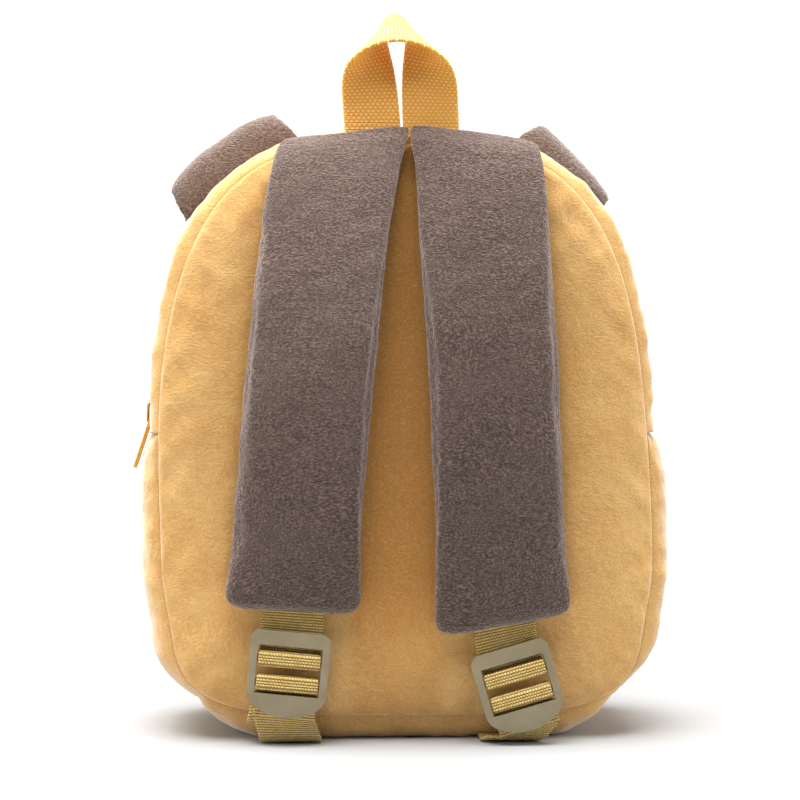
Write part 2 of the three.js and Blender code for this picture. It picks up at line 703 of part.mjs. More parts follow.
// A buckle's own frame: across, towards the bag, and up its length, about its window's middle
function buckleFrame(side) {
  const { x, up, turn } = BUCKLES[side];
  const tilt = radians(turn);
  const end = padSections(PADS[side]).at(-1);
  return {
    centre: point(x, end.centre.y - layerMiddle, up),
    wide: point(Math.cos(tilt), 0, -Math.sin(tilt)),
    inward: point(0, 1, 0),
    upward: point(Math.sin(tilt), 0, Math.cos(tilt)),
  };
}

// Depths in a buckle's frame, towards the bag: its own faces and the webbing's layers
const frameBack = BUCKLE_DEPTH * 0.4;
const tightBend = WEB_CLEAR + WEB_THICKNESS / 2; // the webbing's middle round an edge
const nearLayer = frameBack + tightBend;
const farLayer = nearLayer + WEB_THICKNESS + WEB_CLEAR;
const layerMiddle = (nearLayer + farLayer) / 2;
const overBar = LADDER_BAR.depth / 2 + tightBend;
const besideBar = LADDER_BAR.width / 2 + tightBend;

function inFrame(frame, across, inward, upward) {
  return frame.centre
    .clone()
    .addScaledVector(frame.wide, across)
    .addScaledVector(frame.inward, inward)
    .addScaledVector(frame.upward, upward);
}

// The ladder-lock buckle: a frame with a half-round tongue, and two recessed bars in its window
function buckle(side) {
  const frame = buckleFrame(side);
  const half = BUCKLE_WIDTH / 2;
  const windowHalf = WEB_WIDTH / 2 + WINDOW_PLAY;
  const windowTop = WINDOW_HEIGHT / 2;
  const corner = 2.5;
  const shape = new THREE.Shape();
  shape.moveTo(-half, -windowTop + 1);
  shape.lineTo(-half, windowTop + TOP_BAR - corner);
  shape.lineTo(-half + corner, windowTop + TOP_BAR);
  shape.lineTo(half - corner, windowTop + TOP_BAR);
  shape.lineTo(half, windowTop + TOP_BAR - corner);
  shape.lineTo(half, -windowTop + 1);
  shape.absellipse(0, -windowTop + 1, half, TONGUE_LENGTH + 1, 0, -Math.PI, true, 0);
  shape.holes.push(rectangle(-windowHalf, -windowTop, windowHalf, windowTop));
  const solid = { depth: BUCKLE_DEPTH, bevelEnabled: false, curveSegments: 14 };
  const ring = new THREE.ExtrudeGeometry(shape, solid);
  ring.translate(0, 0, -frameBack);
  const bars = [UPPER_BAR_AT, LOWER_BAR_AT].map((at) => {
    const halfBar = LADDER_BAR.width / 2;
    return slab(rectangle(-windowHalf - 1, at - halfBar, windowHalf + 1, at + halfBar), LADDER_BAR.depth);
  });
  // Drawn facing +Z, then stood up so that its face looks away from the bag
  const stand = new THREE.Matrix4().makeBasis(frame.wide, frame.upward, frame.inward.clone().negate());
  return joined([ring, ...bars]).applyMatrix4(stand.setPosition(frame.centre));
}

// The webbing sewn into the pad's end: down behind the frame, over the upper bar and back up
function padWebbing(side) {
  const frame = buckleFrame(side);
  const end = padSections(PADS[side]).at(-1);
  const place = (inward, upward) => corner(inFrame(frame, 0, inward, upward), frame.wide);
  const sewn = (inward) => {
    const at = end.centre.clone().addScaledVector(end.along, SEAM_GAP);
    return corner(at.addScaledVector(frame.inward, inward - layerMiddle), end.wide);
  };
  return ribbon(
    [
      sewn(nearLayer),
      place(nearLayer, WINDOW_HEIGHT / 2 + TOP_BAR),
      place(nearLayer, UPPER_BAR_AT + besideBar),
      place(-overBar, UPPER_BAR_AT + besideBar),
      place(-overBar, UPPER_BAR_AT - besideBar),
      place(farLayer, UPPER_BAR_AT - besideBar),
      place(farLayer, WINDOW_HEIGHT / 2 + TOP_BAR),
      sewn(farLayer),
    ],
    WEB_WIDTH,
    WEB_THICKNESS,
  );
}

// The adjusting webbing: from the base seam up behind the tongue, over the lower bar, and down
// behind the tongue again to a free end that bends under the bag
function baseWebbing(side) {
  const { anchorX, tailX } = BUCKLES[side];
  const frame = buckleFrame(side);
  const place = (inward, upward) => corner(inFrame(frame, 0, inward, upward), frame.wide);
  const straight = point(1, 0, 0);
  const seamY = -(HALF_DEPTH + SEAM_GAP / 2 + WEB_CLEAR + WEB_THICKNESS / 2);
  const tailUp = TAIL_UP + WEB_THICKNESS / 2;
  const tongueFoot = -WINDOW_HEIGHT / 2 - TONGUE_LENGTH;
  const tailFoot = inFrame(frame, 0, nearLayer, tongueFoot);
  return ribbon(
    [
      corner(point(anchorX, seamY, SEAM_BOTTOM - WEB_THICKNESS), straight),
      corner(point(anchorX, frame.centre.y + farLayer + 1, SEAM_BOTTOM), straight, ANCHOR_BEND),
      place(farLayer, LOWER_BAR_AT - besideBar),
      place(farLayer, LOWER_BAR_AT + besideBar),
      place(-overBar, LOWER_BAR_AT + besideBar),
      place(-overBar, LOWER_BAR_AT - besideBar),
      place(nearLayer, LOWER_BAR_AT - besideBar),
      place(nearLayer, tongueFoot),
      corner(point(tailX, tailFoot.y + TAIL_BACK, tailUp), straight, TAIL_BEND),
      corner(point(tailX, tailFoot.y + TAIL_BACK + TAIL_TUCK, tailUp), straight),
    ],
    WEB_WIDTH,
    WEB_THICKNESS,
  );
}

// The grab loop: webbing sewn flat at both ends side by side, so that its far edge makes a narrow
// peak and its near edge a wide arch. far and near: shares of the two rises; out: share of the
// webbing's width; deep: share of the width towards the front
const LOOP_STATIONS = [
  { farUp: 0, farOut: 0, farDeep: 0, nearUp: 0, nearOut: 1, nearDeep: 0 },
  { farUp: 0.28, farOut: 0.015, farDeep: 0.02, nearUp: 0.36, nearOut: 1.01, nearDeep: -0.05 },
  { farUp: 0.52, farOut: 0.085, farDeep: 0.08, nearUp: 0.62, nearOut: 0.96, nearDeep: -0.22 },
  { farUp: 0.7, farOut: 0.155, farDeep: 0.16, nearUp: 0.79, nearOut: 0.84, nearDeep: -0.4 },
  { farUp: 0.86, farOut: 0.195, farDeep: 0.23, nearUp: 0.9, nearOut: 0.64, nearDeep: -0.53 },
  { farUp: 0.96, farOut: 0.14, farDeep: 0.28, nearUp: 0.97, nearOut: 0.34, nearDeep: -0.58 },
  { farUp: 1, farOut: 0, farDeep: 0.29, nearUp: 1, nearOut: 0, nearDeep: -0.58 },
];

function grabLoop() {
  const half = LOOP_STATIONS.map((s) => {
    const edge = (out, deep, up) => point(-(LOOP_SPLIT / 2 + out * LOOP_WIDTH), LOOP_WIDTH * deep, up);
    return {
      far: edge(s.farOut, s.farDeep, s.farUp * LOOP_RISE),
      near: edge(s.nearOut, s.nearDeep, s.nearUp * LOOP_NEAR_RISE),
    };
  });
  const whole = [...half, ...half.slice(0, -1).reverse().map(mirrorEdges)];
  const seat = point(TOP_SWAY, -(HALF_DEPTH + LOOP_SEAT), SEAM_TOP + SEAM_GAP);
  const leant = (place) => {
    const lean = LOOP_LEAN * (place.z / LOOP_RISE);
    return point(place.x + lean, place.y, place.z).add(seat);
  };
  const far = new THREE.CatmullRomCurve3(whole.map((s) => leant(s.far)));
  const near = new THREE.CatmullRomCurve3(whole.map((s) => leant(s.near)));
  const loops = Array.from({ length: LOOP_STEPS + 1 }, (_, k) => {
    const t = k / LOOP_STEPS;
    const [a, b] = [far.getPoint(t), near.getPoint(t)];
    const middle = a.clone().add(b).divideScalar(2);
    const wide = b.clone().sub(a).normalize();
    const along = far.getTangent(t).add(near.getTangent(t));
    const thick = along.cross(wide).normalize();
    const corner = (across, deep) =>
      middle
        .clone()
        .addScaledVector(wide, (across * LOOP_WIDTH) / 2)
        .addScaledVector(thick, (deep * LOOP_THICKNESS) / 2);
    return [corner(-1, -1), corner(1, -1), corner(1, 1), corner(-1, 1)];
  });
  return loftLoops(loops);
}

function mirrorEdges({ far, near }) {
  return { far: point(-far.x, far.y, far.z), near: point(-near.x, near.y, near.z) };
}

// Stations of an ear, from its seam up to the fold, round it and down to its tip. climb: share of
// the way from the seam to the fold; turn: degrees round the fold; drop: share of the hanging half
const EAR_STATIONS = [
  { climb: 0.05, wide: 0.98, thick: 0.7 },
  { climb: 0.55, wide: 0.97, thick: 0.95 },
  { climb: 1, wide: 0.94, thick: 1 },
  { turn: 45, wide: 0.91, thick: 1 },
  { turn: 90, wide: 0.88, thick: 1 },
  { turn: 135, wide: 0.88, thick: 1 },
  { drop: 0.04, wide: 0.87, thick: 1 },
  { drop: 0.25, wide: 0.83, thick: 1 },
  { drop: 0.48, wide: 0.75, thick: 1 },
  { drop: 0.7, wide: 0.62, thick: 0.95 },
  { drop: 0.87, wide: 0.44, thick: 0.85 },
  { drop: 0.96, wide: 0.27, thick: 0.65 },
  { drop: 1, wide: 0.12, thick: 0.4 },
];

// The frame of the seam's arch at a distance to the left or right of its middle
function archFrameAt(fromMiddle) {
  const reached = (s) => s.up > WIDEST_UP && s.x - swayAt(s.up) <= Math.abs(fromMiddle);
  const share = outline.samples.find(reached).run / outline.length;
  return outlineFrame(fromMiddle > 0 ? share : 1 - share);
}

function ear({ alongArch, width, rise, turn, bow }) {
  const rim = archFrameAt(alongArch * SEAM_HALF_WIDTH);
  const tilt = radians(turn);
  const outX = rim.outX * Math.cos(tilt) - rim.outUp * Math.sin(tilt);
  const outUp = rim.outX * Math.sin(tilt) + rim.outUp * Math.cos(tilt);
  const wide = point(-outUp, 0, outX);
  const outward = point(outX, 0, outUp);
  const seat = HALF_DEPTH + SEAM_GAP + EAR_THICKNESS / 2;
  const foldRadius = EAR_FOLD_DEPTH / 2;
  const foldOut = rise - EAR_THICKNESS / 2 - foldRadius;
  const place = (out, depth) => point(rim.x + outX * out, depth, rim.up + outUp * out);
  const centres = EAR_STATIONS.map(({ climb, turn: round, drop, wide: share }) => {
    if (climb !== undefined) return place(climb * foldOut, seat);
    if (round !== undefined) {
      const angle = radians(round);
      return place(foldOut + foldRadius * Math.sin(angle), seat + foldRadius * (1 - Math.cos(angle)));
    }
    const out = foldOut - drop * EAR_DROP;
    const here = place(out, 0);
    const half = (width * share) / 2;
    const resting = [-half, 0, half].map((across) =>
      panelSurface(here.x + wide.x * across, here.z + wide.z * across, FRONT_CROWN),
    );
    const clear = Math.max(...resting) + SEAM_GAP + EAR_THICKNESS / 2;
    return place(out, Math.max(clear, seat + EAR_FOLD_DEPTH * (1 - drop)));
  });
  const loops = EAR_STATIONS.map((station, k) => {
    const before = centres[Math.max(k - 1, 0)];
    const after = centres[Math.min(k + 1, centres.length - 1)];
    const along = after.clone().sub(before).normalize();
    const thick = along.clone().cross(wide).normalize();
    const thickness = EAR_THICKNESS * station.thick;
    const section = roundSection(centres[k], wide, thick, width * station.wide, thickness, EAR_SIDES, 3);
    const bowed = bow * (station.climb ?? 1 - (station.drop ?? 0));
    return section.map((v) => {
      const across = v.clone().sub(centres[k]).dot(wide) / (width / 2);
      return v.addScaledVector(outward, bowed * (1 - across ** 2));
    });
  });
  return loftLoops(loops);
}

addPiece("back_panel", panel(-1, BACK_CROWN), "plush");
addPiece("front_panel", panel(1, FRONT_CROWN), "plush");
addPiece("lower_band", lowerBand(), "plush");
addPiece("upper_band_back", archStrip(-1), "plush");
addPiece("upper_band_front", archStrip(1), "plush");
addPiece("zip_tape_back", zipTape(-1), "zipTape");
addPiece("zip_tape_front", zipTape(1), "zipTape");
addPiece("zip_coil", zipCoil(), "zipTape");
addPiece("zip_slider", zipSlider(), "zipMetal");
addPiece("zip_puller", zipPuller(), "zipMetal");
addPiece("grab_loop", grabLoop(), "loopWebbing");
for (const side of ["left", "right"]) {
  addPiece(`strap_pad_${side}`, shoulderPad(PADS[side]), "plushDark");
  addPiece(`pad_webbing_${side}`, padWebbing(side), "webbing");
  addPiece(`buckle_${side}`, buckle(side), "buckle");
  addPiece(`base_webbing_${side}`, baseWebbing(side), "webbing");
  addPiece(`ear_${side}`, ear(EARS[side]), "plushDark");
}

export default backpack;
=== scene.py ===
"""Looks of a toddler's plush backpack: a stuffed golden body with a zip over its arch, two padded
taupe shoulder straps on ladder-lock buckles, a webbing grab loop and two folded flop ears.

Lengths here are millimetres and become metres when a mesh is made. +Z is up, +Y runs from the
straps to the front panel and +X is to the right when the straps face the eye."""

import math

import bmesh
import bpy
import numpy as np
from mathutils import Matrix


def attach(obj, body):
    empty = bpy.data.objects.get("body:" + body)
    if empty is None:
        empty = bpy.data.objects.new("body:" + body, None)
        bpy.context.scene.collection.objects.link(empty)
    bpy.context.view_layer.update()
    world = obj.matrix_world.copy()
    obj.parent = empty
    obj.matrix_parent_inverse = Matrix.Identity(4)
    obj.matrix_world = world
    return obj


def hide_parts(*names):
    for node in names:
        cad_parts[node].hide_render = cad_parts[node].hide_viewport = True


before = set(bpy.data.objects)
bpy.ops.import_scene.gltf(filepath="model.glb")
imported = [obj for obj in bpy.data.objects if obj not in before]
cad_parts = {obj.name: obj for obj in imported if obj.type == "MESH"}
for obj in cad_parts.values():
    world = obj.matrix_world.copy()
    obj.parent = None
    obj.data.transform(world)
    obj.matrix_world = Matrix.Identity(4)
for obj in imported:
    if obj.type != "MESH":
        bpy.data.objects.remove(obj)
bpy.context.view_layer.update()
MM = 0.001

# Bag body, as the frame has it
HALF_WIDTH = 99.5
TOP = 242.2
BOTTOM = 10
WIDEST_UP = 72
SWAY = -2.3
HALF_DEPTH = 40
SEAM_GAP = 0.3
BACK_CROWN = 9
FRONT_CROWN = 15
WALL = 3
SHOULDER = 28
ZIP_END_UP = 124
ZIP_EDGE = 1.9
UPPER_BULGE = 5
FOLD_RADIUS = 1.2
TAPE_WIDTH = 13.6
COIL_WIDTH = 5.4
ARCH_POWER = 3.14
BASE_POWER = 4.6

# Straps, webbing and buckles
PAD_WIDTH = 50
PAD_THICKNESS = 11
PAD_TOP_UP = TOP + 3.2
# Each pad's last number is its share of painted shade: the right strap gets more, as if lit from the left.
PADS = {
    "left": dict(
        top=-23.9, end=-46.9, end_up=55.5, splay=0.6, roll=7, top_turn=-5.9, end_turn=3.5,
        plump=2.2, nudge=0, longer=0.9, dent_and_painted_shade=0.15,
    ),
    "right": dict(
        top=25.6, end=38, end_up=50.5, splay=0.7, roll=-3, top_turn=7.5, end_turn=-9,
        plump=2.6, nudge=-0.7, longer=2.4, dent_and_painted_shade=0.5,
    ),
}
WEB_WIDTH = 25
WEB_THICKNESS = 1.4
WEB_CLEAR = 0.3
BUCKLE_DEPTH = 4
BUCKLES = {
    "left": dict(x=-48.6, up=30.8, turn=5.7, anchor=-52.9, tail=-47.6),
    "right": dict(x=43.3, up=24.6, turn=-16, anchor=43.4, tail=41.3),
}
LOOP_WIDTH = 22.6
LOOP_THICKNESS = 1.6
LOOP_RISE = 50.8
LOOP_NEAR_RISE = 38.4
LOOP_LEAN = -3.1
EARS = {
    "left": dict(along=-0.646, width=66, rise=17, turn=-3.4, more=2.8),
    "right": dict(along=0.67, width=54, rise=19.2, turn=-4.5, more=0.4),
}


def smooth(value, low, high):
    """A smooth step from 0 at low to 1 at high."""
    t = np.clip((value - low) / (high - low), 0, 1)
    return t * t * (3 - 2 * t)


def lerp(a, b, t):
    """The value a share t of the way from a to b."""
    return a + (b - a) * t


def signed_power(value, power):
    """A power that keeps its value's sign, for superellipses."""
    return np.sign(value) * np.abs(value) ** power


def unit(vectors):
    """Vectors at length 1."""
    return vectors / np.maximum(np.linalg.norm(vectors, axis=-1, keepdims=True), 1e-9)


def ripples(points, wavelength, seed, count=12):
    """Soft irregular height, about -1 to 1: the sum of sine waves of nearly one wavelength that run
    in seeded directions all round."""
    chance = np.random.default_rng(seed)
    ways = unit(chance.normal(size=(count, 3)))
    numbers = 2 * math.pi / (wavelength * chance.uniform(0.75, 1.35, count))
    phases = chance.uniform(0, 2 * math.pi, count)
    waves = np.sin(points @ (ways * numbers[:, None]).T + phases)
    return waves.sum(-1) / math.sqrt(2 * count)


def through(points, t):
    """A centripetal Catmull-Rom curve through points, at shares t."""
    padded = np.vstack([2 * points[0] - points[1], points, 2 * points[-1] - points[-2]])
    at = np.clip(t, 0, 1) * (len(points) - 1)
    k = np.minimum(at.astype(int), len(points) - 2)
    w = (at - k)[:, None]
    p0, p1, p2, p3 = (padded[k + j] for j in range(4))

    def span(a, b):
        return np.maximum(np.linalg.norm(b - a, axis=1) ** 0.5, 1e-4)[:, None]

    d0, d1, d2 = span(p0, p1), span(p1, p2), span(p2, p3)
    t1 = ((p1 - p0) / d0 - (p2 - p0) / (d0 + d1) + (p2 - p1) / d1) * d1
    t2 = ((p2 - p1) / d1 - (p3 - p1) / (d1 + d2) + (p3 - p2) / d2) * d1
    return p1 + t1 * w + (-3 * p1 + 3 * p2 - 2 * t1 - t2) * w**2 + (2 * p1 - 2 * p2 + t1 + t2) * w**3


def length_along(points):
    """The distance from the first point to each, along the line through them."""
    return np.concatenate([[0], np.cumsum(np.linalg.norm(np.diff(points, axis=0), axis=1))])


# Mesh making


def outward(points, faces):
    """The faces turned outwards, by the sign of the volume that they enclose."""
    volume = 0.0
    for size in (3, 4):
        some = np.array([f for f in faces if len(f) == size])
        if len(some) == 0:
            continue
        for k in range(1, size - 1):
            a, b, c = points[some[:, 0]], points[some[:, k]], points[some[:, k + 1]]
            volume += np.einsum("ij,ij->", a, np.cross(b, c))
    return faces if volume > 0 else [f[::-1] for f in faces]


def quads_between(index, closed):
    """Quads of a grid of vertex numbers, closed round its second axis where it is a ring."""
    right = np.roll(index, -1, axis=1) if closed else index[:, 1:]
    left = index if closed else index[:, :-1]
    return np.stack([left[:-1], right[:-1], right[1:], left[1:]], -1).reshape(-1, 4).tolist()


def loft(rings):
    """A closed body through closed rings, with a fan over each end."""
    rows, sides = rings.shape[:2]
    index = np.arange(rows * sides).reshape(rows, sides)
    points = np.vstack([rings.reshape(-1, 3), rings[0].mean(0), rings[-1].mean(0)])
    faces = quads_between(index, True)
    for row, hub, turned in ((0, rows * sides, 1), (-1, rows * sides + 1, -1)):
        ring = index[row]
        fan = np.stack([np.roll(ring, -1), ring, np.full(sides, hub)][::turned], -1)
        faces += fan.tolist()
    return points, outward(points, faces)


def wall(outer, inner):
    """A closed wall between an outer and an inner grid of equal size."""
    rows, columns = outer.shape[:2]
    index = np.arange(rows * columns).reshape(rows, columns)
    inside = index + rows * columns
    points = np.vstack([outer.reshape(-1, 3), inner.reshape(-1, 3)])
    rim = np.concatenate([index[0, :-1], index[:-1, -1], index[-1, :0:-1], index[:0:-1, 0]])
    faces = quads_between(index, False)
    faces += [f[::-1] for f in quads_between(inside, False)]
    faces += quads_between(np.stack([rim + rows * columns, rim]), True)
    return points, outward(points, faces)


def dome(outer, inner):
    """A closed wall from two sets of rings that run from a shared rim to a hub each."""
    points, faces, start = [], [], 0
    sides = outer.shape[1]
    rims = []
    for rings, turned in ((outer, 1), (inner, -1)):
        count = (len(rings) - 1) * sides
        index = start + np.arange(count).reshape(-1, sides)
        points += [rings[:-1].reshape(-1, 3), rings[-1, :1]]
        fan = np.stack([index[-1], np.roll(index[-1], -1), np.full(sides, start + count)], -1)
        faces += [f[::turned] for f in quads_between(index, True) + fan.tolist()]
        rims.append(index[0])
        start += count + 1
    faces += quads_between(np.stack([rims[1], rims[0]]), True)
    points = np.vstack(points)
    return points, outward(points, faces)


def in_scene(name, data):
    """An object in the scene for a mesh, lamp or lens."""
    thing = bpy.data.objects.new(name, data)
    bpy.context.scene.collection.objects.link(thing)
    return thing


def mesh_of(name, points, faces):
    """A mesh from millimetres."""
    mesh = bpy.data.meshes.new(name)
    mesh.from_pydata((points * MM).tolist(), [], faces)
    return mesh


def add_piece(name, points, faces, material, node, body="bag", uv=None, dent_and_painted_shade=None):
    """A mesh piece from millimetres, riding its body and standing for a node of the frame."""
    mesh = mesh_of(name, points, faces)
    if uv is not None:
        layer = mesh.uv_layers.new(name="cloth_mm")
        corners = np.zeros(len(mesh.loops), np.int32)
        mesh.loops.foreach_get("vertex_index", corners)
        layer.data.foreach_set("uv", uv[corners].astype(np.float32).ravel())
    # An optional share for each vertex of painted shade in the plush.
    if dent_and_painted_shade is not None:
        set_painted_shade(mesh, dent_and_painted_shade)
    return finish_piece(name, mesh, material, node, body)


def set_painted_shade(mesh, shares):
    """Keeps, for each vertex, how far its plush shows a deeper colour that paints shade."""
    layer = mesh.attributes.new("dent_and_painted_shade", "FLOAT", "POINT")
    layer.data.foreach_set("value", shares.astype(np.float32))


def finish_piece(name, mesh, material, node, body="bag"):
    """Smooth shading, material and body for a finished mesh, with the frame node that it stands for hidden.
    """
    mesh.polygons.foreach_set("use_smooth", np.ones(len(mesh.polygons), bool))
    mesh.materials.clear()
    mesh.materials.append(material)
    mesh.update()
    piece = in_scene(name, mesh)
    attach(piece, body)
    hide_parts(node)
    return piece


def merged_copy(node):
    """A frame node's mesh with its split corners joined."""
    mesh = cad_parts[node].data.copy()
    work = bmesh.new()
    work.from_mesh(mesh)
    bmesh.ops.remove_doubles(work, verts=work.verts, dist=2e-6)
    bmesh.ops.recalc_face_normals(work, faces=work.faces)
    work.to_mesh(mesh)
    work.free()
    return mesh


def places_of(mesh):
    """A mesh's vertices as an array in millimetres."""
    flat = np.zeros(len(mesh.vertices) * 3, np.float32)
    mesh.vertices.foreach_get("co", flat)
    return flat.reshape(-1, 3).astype(float) / MM


def normals_of(mesh):
    """A mesh's vertex normals as an array."""
    flat = np.zeros(len(mesh.vertices) * 3, np.float32)
    mesh.vertex_normals.foreach_get("vector", flat)
    return flat.reshape(-1, 3).astype(float)


def set_places(mesh, points):
    """Moves a mesh's vertices to places in millimetres."""
    mesh.vertices.foreach_set("co", (points * MM).astype(np.float32).ravel())
    mesh.update()


def evaluated_mesh(piece):
    """A copy of an object's mesh with its modifiers applied."""
    graph = bpy.context.evaluated_depsgraph_get()
    return bpy.data.meshes.new_from_object(piece.evaluated_get(graph), depsgraph=graph)


# Outline of the seams


def sway_at(up):
    """How far the bag leans to the side at a height."""
    return SWAY * smooth(up, 60, 150)


def half_width_at(up):
    """Half the seams' width, drawn in towards the base."""
    return HALF_WIDTH - 3.4 * smooth(WIDEST_UP - up, 0, 32)


def power_and_reach(above):
    """The outline's exponent and height, for its part above the widest point or below it."""
    return np.where(above, ARCH_POWER, BASE_POWER), np.where(above, TOP - WIDEST_UP, WIDEST_UP - BOTTOM)


def outline_at_angle(angle):
    """The seams' outline, a superellipse with one exponent above its widest point and one below."""
    power, reach = power_and_reach(np.sin(angle) >= 0)
    up = WIDEST_UP + reach * signed_power(np.sin(angle), 2 / power)
    return half_width_at(up) * signed_power(np.cos(angle), 2 / power) + sway_at(up), up


ANGLES = np.linspace(-math.pi / 2, 1.5 * math.pi, 7681)
OUTLINE_X, OUTLINE_UP = outline_at_angle(ANGLES)
RUN = np.concatenate([[0], np.cumsum(np.hypot(np.diff(OUTLINE_X), np.diff(OUTLINE_UP)))])
LENGTH = RUN[-1]
END_SHARE = RUN[8 * next(k for k in range(241, 480) if OUTLINE_UP[8 * k] >= ZIP_END_UP)] / LENGTH


def outline_at(share):
    """The outline at a share of its length: 0 is the middle of the base and 0.5 the top."""
    run = np.mod(share, 1) * LENGTH
    return np.interp(run, RUN, OUTLINE_X), np.interp(run, RUN, OUTLINE_UP)


def outline_frame(share):
    """The outline's place and outward normal at shares of its length, as x, up, out_x, out_up."""
    step = 1 / 960
    (x0, up0), (x1, up1) = outline_at(share - step), outline_at(share + step)
    length = np.hypot(x1 - x0, up1 - up0)
    x, up = outline_at(share)
    return x, up, (up1 - up0) / length, -(x1 - x0) / length


def seam_share(x, up):
    """0 at a panel's hub and 1 on its seam."""
    power, reach = power_and_reach(up >= WIDEST_UP)
    across = np.abs((x - sway_at(up)) / half_width_at(up)) ** power
    return (across + np.abs((up - WIDEST_UP) / reach) ** power) ** (1 / power)


def panel_depth(x, up, crown):
    """How far a panel's face stands from the middle of the bag."""
    rise = np.sqrt(np.maximum(0, 1 - np.minimum(seam_share(x, up), 1) ** 4))
    return HALF_DEPTH + SEAM_GAP / 2 + crown * rise


def rolled_shares(flat, flat_steps, roll_steps):
    """Shares from 0 to 1 that crowd where a face rolls over: even up to flat, then even in the
    angle whose sine is the share squared."""
    start = math.asin(flat**2)
    angles = np.linspace(start, math.pi / 2, roll_steps + 1)[1:]
    return np.concatenate([np.linspace(0, flat, flat_steps + 1), np.sqrt(np.sin(angles))])


# Pads: their sections say where the straps lie

# down, gap, thick and wide of each station
PAD_STATIONS = np.array(
    [
        (0, 0, 0.34, 0.95),
        (0.012, 0, 0.46, 0.97),
        (0.035, 0.02, 0.66, 1),
        (0.08, 0.1, 0.86, 1),
        (0.15, 0.3, 0.97, 1),
        (0.25, 0.62, 1, 1),
        (0.36, 0.9, 1, 1),
        (0.48, 1, 1, 1),
        (0.6, 0.94, 1, 1),
        (0.72, 0.72, 1, 1),
        (0.83, 0.42, 1, 1),
        (0.92, 0.16, 0.98, 1),
        (0.965, 0.06, 0.9, 1),
        (0.988, 0.02, 0.74, 0.99),
        (1, 0, 0.5, 0.95),
    ]
)


def pad_sections(side):
    """The middles and directions of a pad's sections: it lies on the panel at both sewn ends and
    stands off in between, rolled and turned as it hangs."""
    pad = PADS[side]
    down, gap, thick, wide_share = PAD_STATIONS.T
    x = lerp(pad["top"], pad["end"], down ** pad["splay"])
    up = lerp(PAD_TOP_UP, pad["end_up"], down)
    edges = x[:, None] + np.array([-0.5, 0, 0.5]) * PAD_WIDTH
    surface = panel_depth(edges, up[:, None], BACK_CROWN).max(1)
    rolled = smooth(down, 0.05, 0.3) * (1 - smooth(down, 0.8, 1))
    lift = abs(math.sin(math.radians(pad["roll"]))) * PAD_WIDTH / 2
    loop_ends = (1.1 + LOOP_THICKNESS / 2 + SEAM_GAP) * (1 - smooth(down, 0.01, 0.05))
    under = np.stack([x, -surface - 0.5 - loop_ends - np.maximum(gap * 9, lift * rolled), up], -1)
    run = np.concatenate([under[1:2] - under[:1], under[2:] - under[:-2], under[-1:] - under[-2:-1]])
    along = unit(run * [0, 1, 1])
    roll = math.radians(pad["roll"]) * rolled
    level = np.stack([np.cos(roll), -np.sin(roll), 0 * roll], -1)
    level = unit(level - along * (level * along).sum(-1, keepdims=True))
    away = np.cross(along, level)
    turn = pad["top_turn"] * (1 - smooth(down, 0, 0.2)) + pad["end_turn"] * smooth(down, 0.8, 1)
    turn = np.radians(turn)[:, None]
    wide = level * np.cos(turn) + along * np.sin(turn)
    centre = under + away * (PAD_THICKNESS * thick / 2)[:, None]
    sizes = dict(width=PAD_WIDTH * wide_share, thickness=PAD_THICKNESS * thick)
    return dict(centre=centre, wide=wide, away=away, up=up, **sizes)


SECTIONS = {side: pad_sections(side) for side in PADS}


def pad_place(points, side):
    """Each point's distance across a pad and off its middle surface, with the direction
    across, from the section level with it."""
    s = SECTIONS[side]
    order = np.argsort(s["centre"][:, 2])
    level = s["centre"][order, 2]

    def at(values):
        return np.stack([np.interp(points[:, 2], level, values[order, k]) for k in range(3)], -1)

    offset = points - at(s["centre"])
    wide, away = unit(at(s["wide"])), unit(at(s["away"]))
    return (offset * wide).sum(-1), (offset * away).sum(-1), wide


def under_pads(x, up):
    """1 where a pad rests on the back panel, and 0 a little way outside it."""
    dent_and_painted_shade = np.zeros_like(x)
    for side, s in SECTIONS.items():
        middle = np.interp(up, s["up"][::-1], s["centre"][::-1, 0])
        inside = 1 - smooth(np.abs(x - middle), PAD_WIDTH / 2 - 4, PAD_WIDTH / 2 + 5)
        dent_and_painted_shade = np.maximum(dent_and_painted_shade, inside * smooth(up, PADS[side]["end_up"] - 6, 70))
    return dent_and_painted_shade


def shade_between_pads(x, up):
    """Painted shade on the back panel: 1 between the straps, fading below them, and a soft edge outside each.
    """
    left, right = (
        np.interp(up, s["up"][::-1], s["centre"][::-1, 0]) for s in (SECTIONS["left"], SECTIONS["right"])
    )
    half = PAD_WIDTH / 2
    inside = smooth(x - left, half - 6, half + 3) * smooth(right - x, half - 6, half + 3)
    beside = np.exp(-np.maximum(np.maximum(left - x, x - right) - half, 0) / 5)
    low = lerp(0.4, 1, smooth(up, 20, 70))
    return np.clip(inside * low + 0.6 * beside * smooth(up, 45, 70) * (1 - inside), 0, 1)


# Materials


def linear(code):
    """A hex colour as the eye sees it, as linear light."""
    parts = [int(code[k : k + 2], 16) / 255 for k in (1, 3, 5)]
    return [c / 12.92 if c <= 0.04045 else ((c + 0.055) / 1.055) ** 2.4 for c in parts] + [1]


def add_node(tree, kind, inputs=(), **settings):
    """A shader node with its settings and with its inputs set or linked; returns its first output."""
    node = tree.nodes.new("ShaderNode" + kind)
    for key, value in settings.items():
        setattr(node, key, value)
    for key, value in dict(inputs).items():
        if isinstance(value, bpy.types.NodeSocket):
            tree.links.new(value, node.inputs[key])
        else:
            node.inputs[key].default_value = value
    return node.outputs[0]


def math_node(tree, operation, a, b=0.0):
    """One sum, product or other operation on two numbers."""
    return add_node(tree, "Math", {0: a, 1: b}, operation=operation)


def times(tree, a, b):
    """The product of two numbers."""
    return math_node(tree, "MULTIPLY", a, b)


def plus(tree, a, b):
    """The sum of two numbers."""
    return math_node(tree, "ADD", a, b)


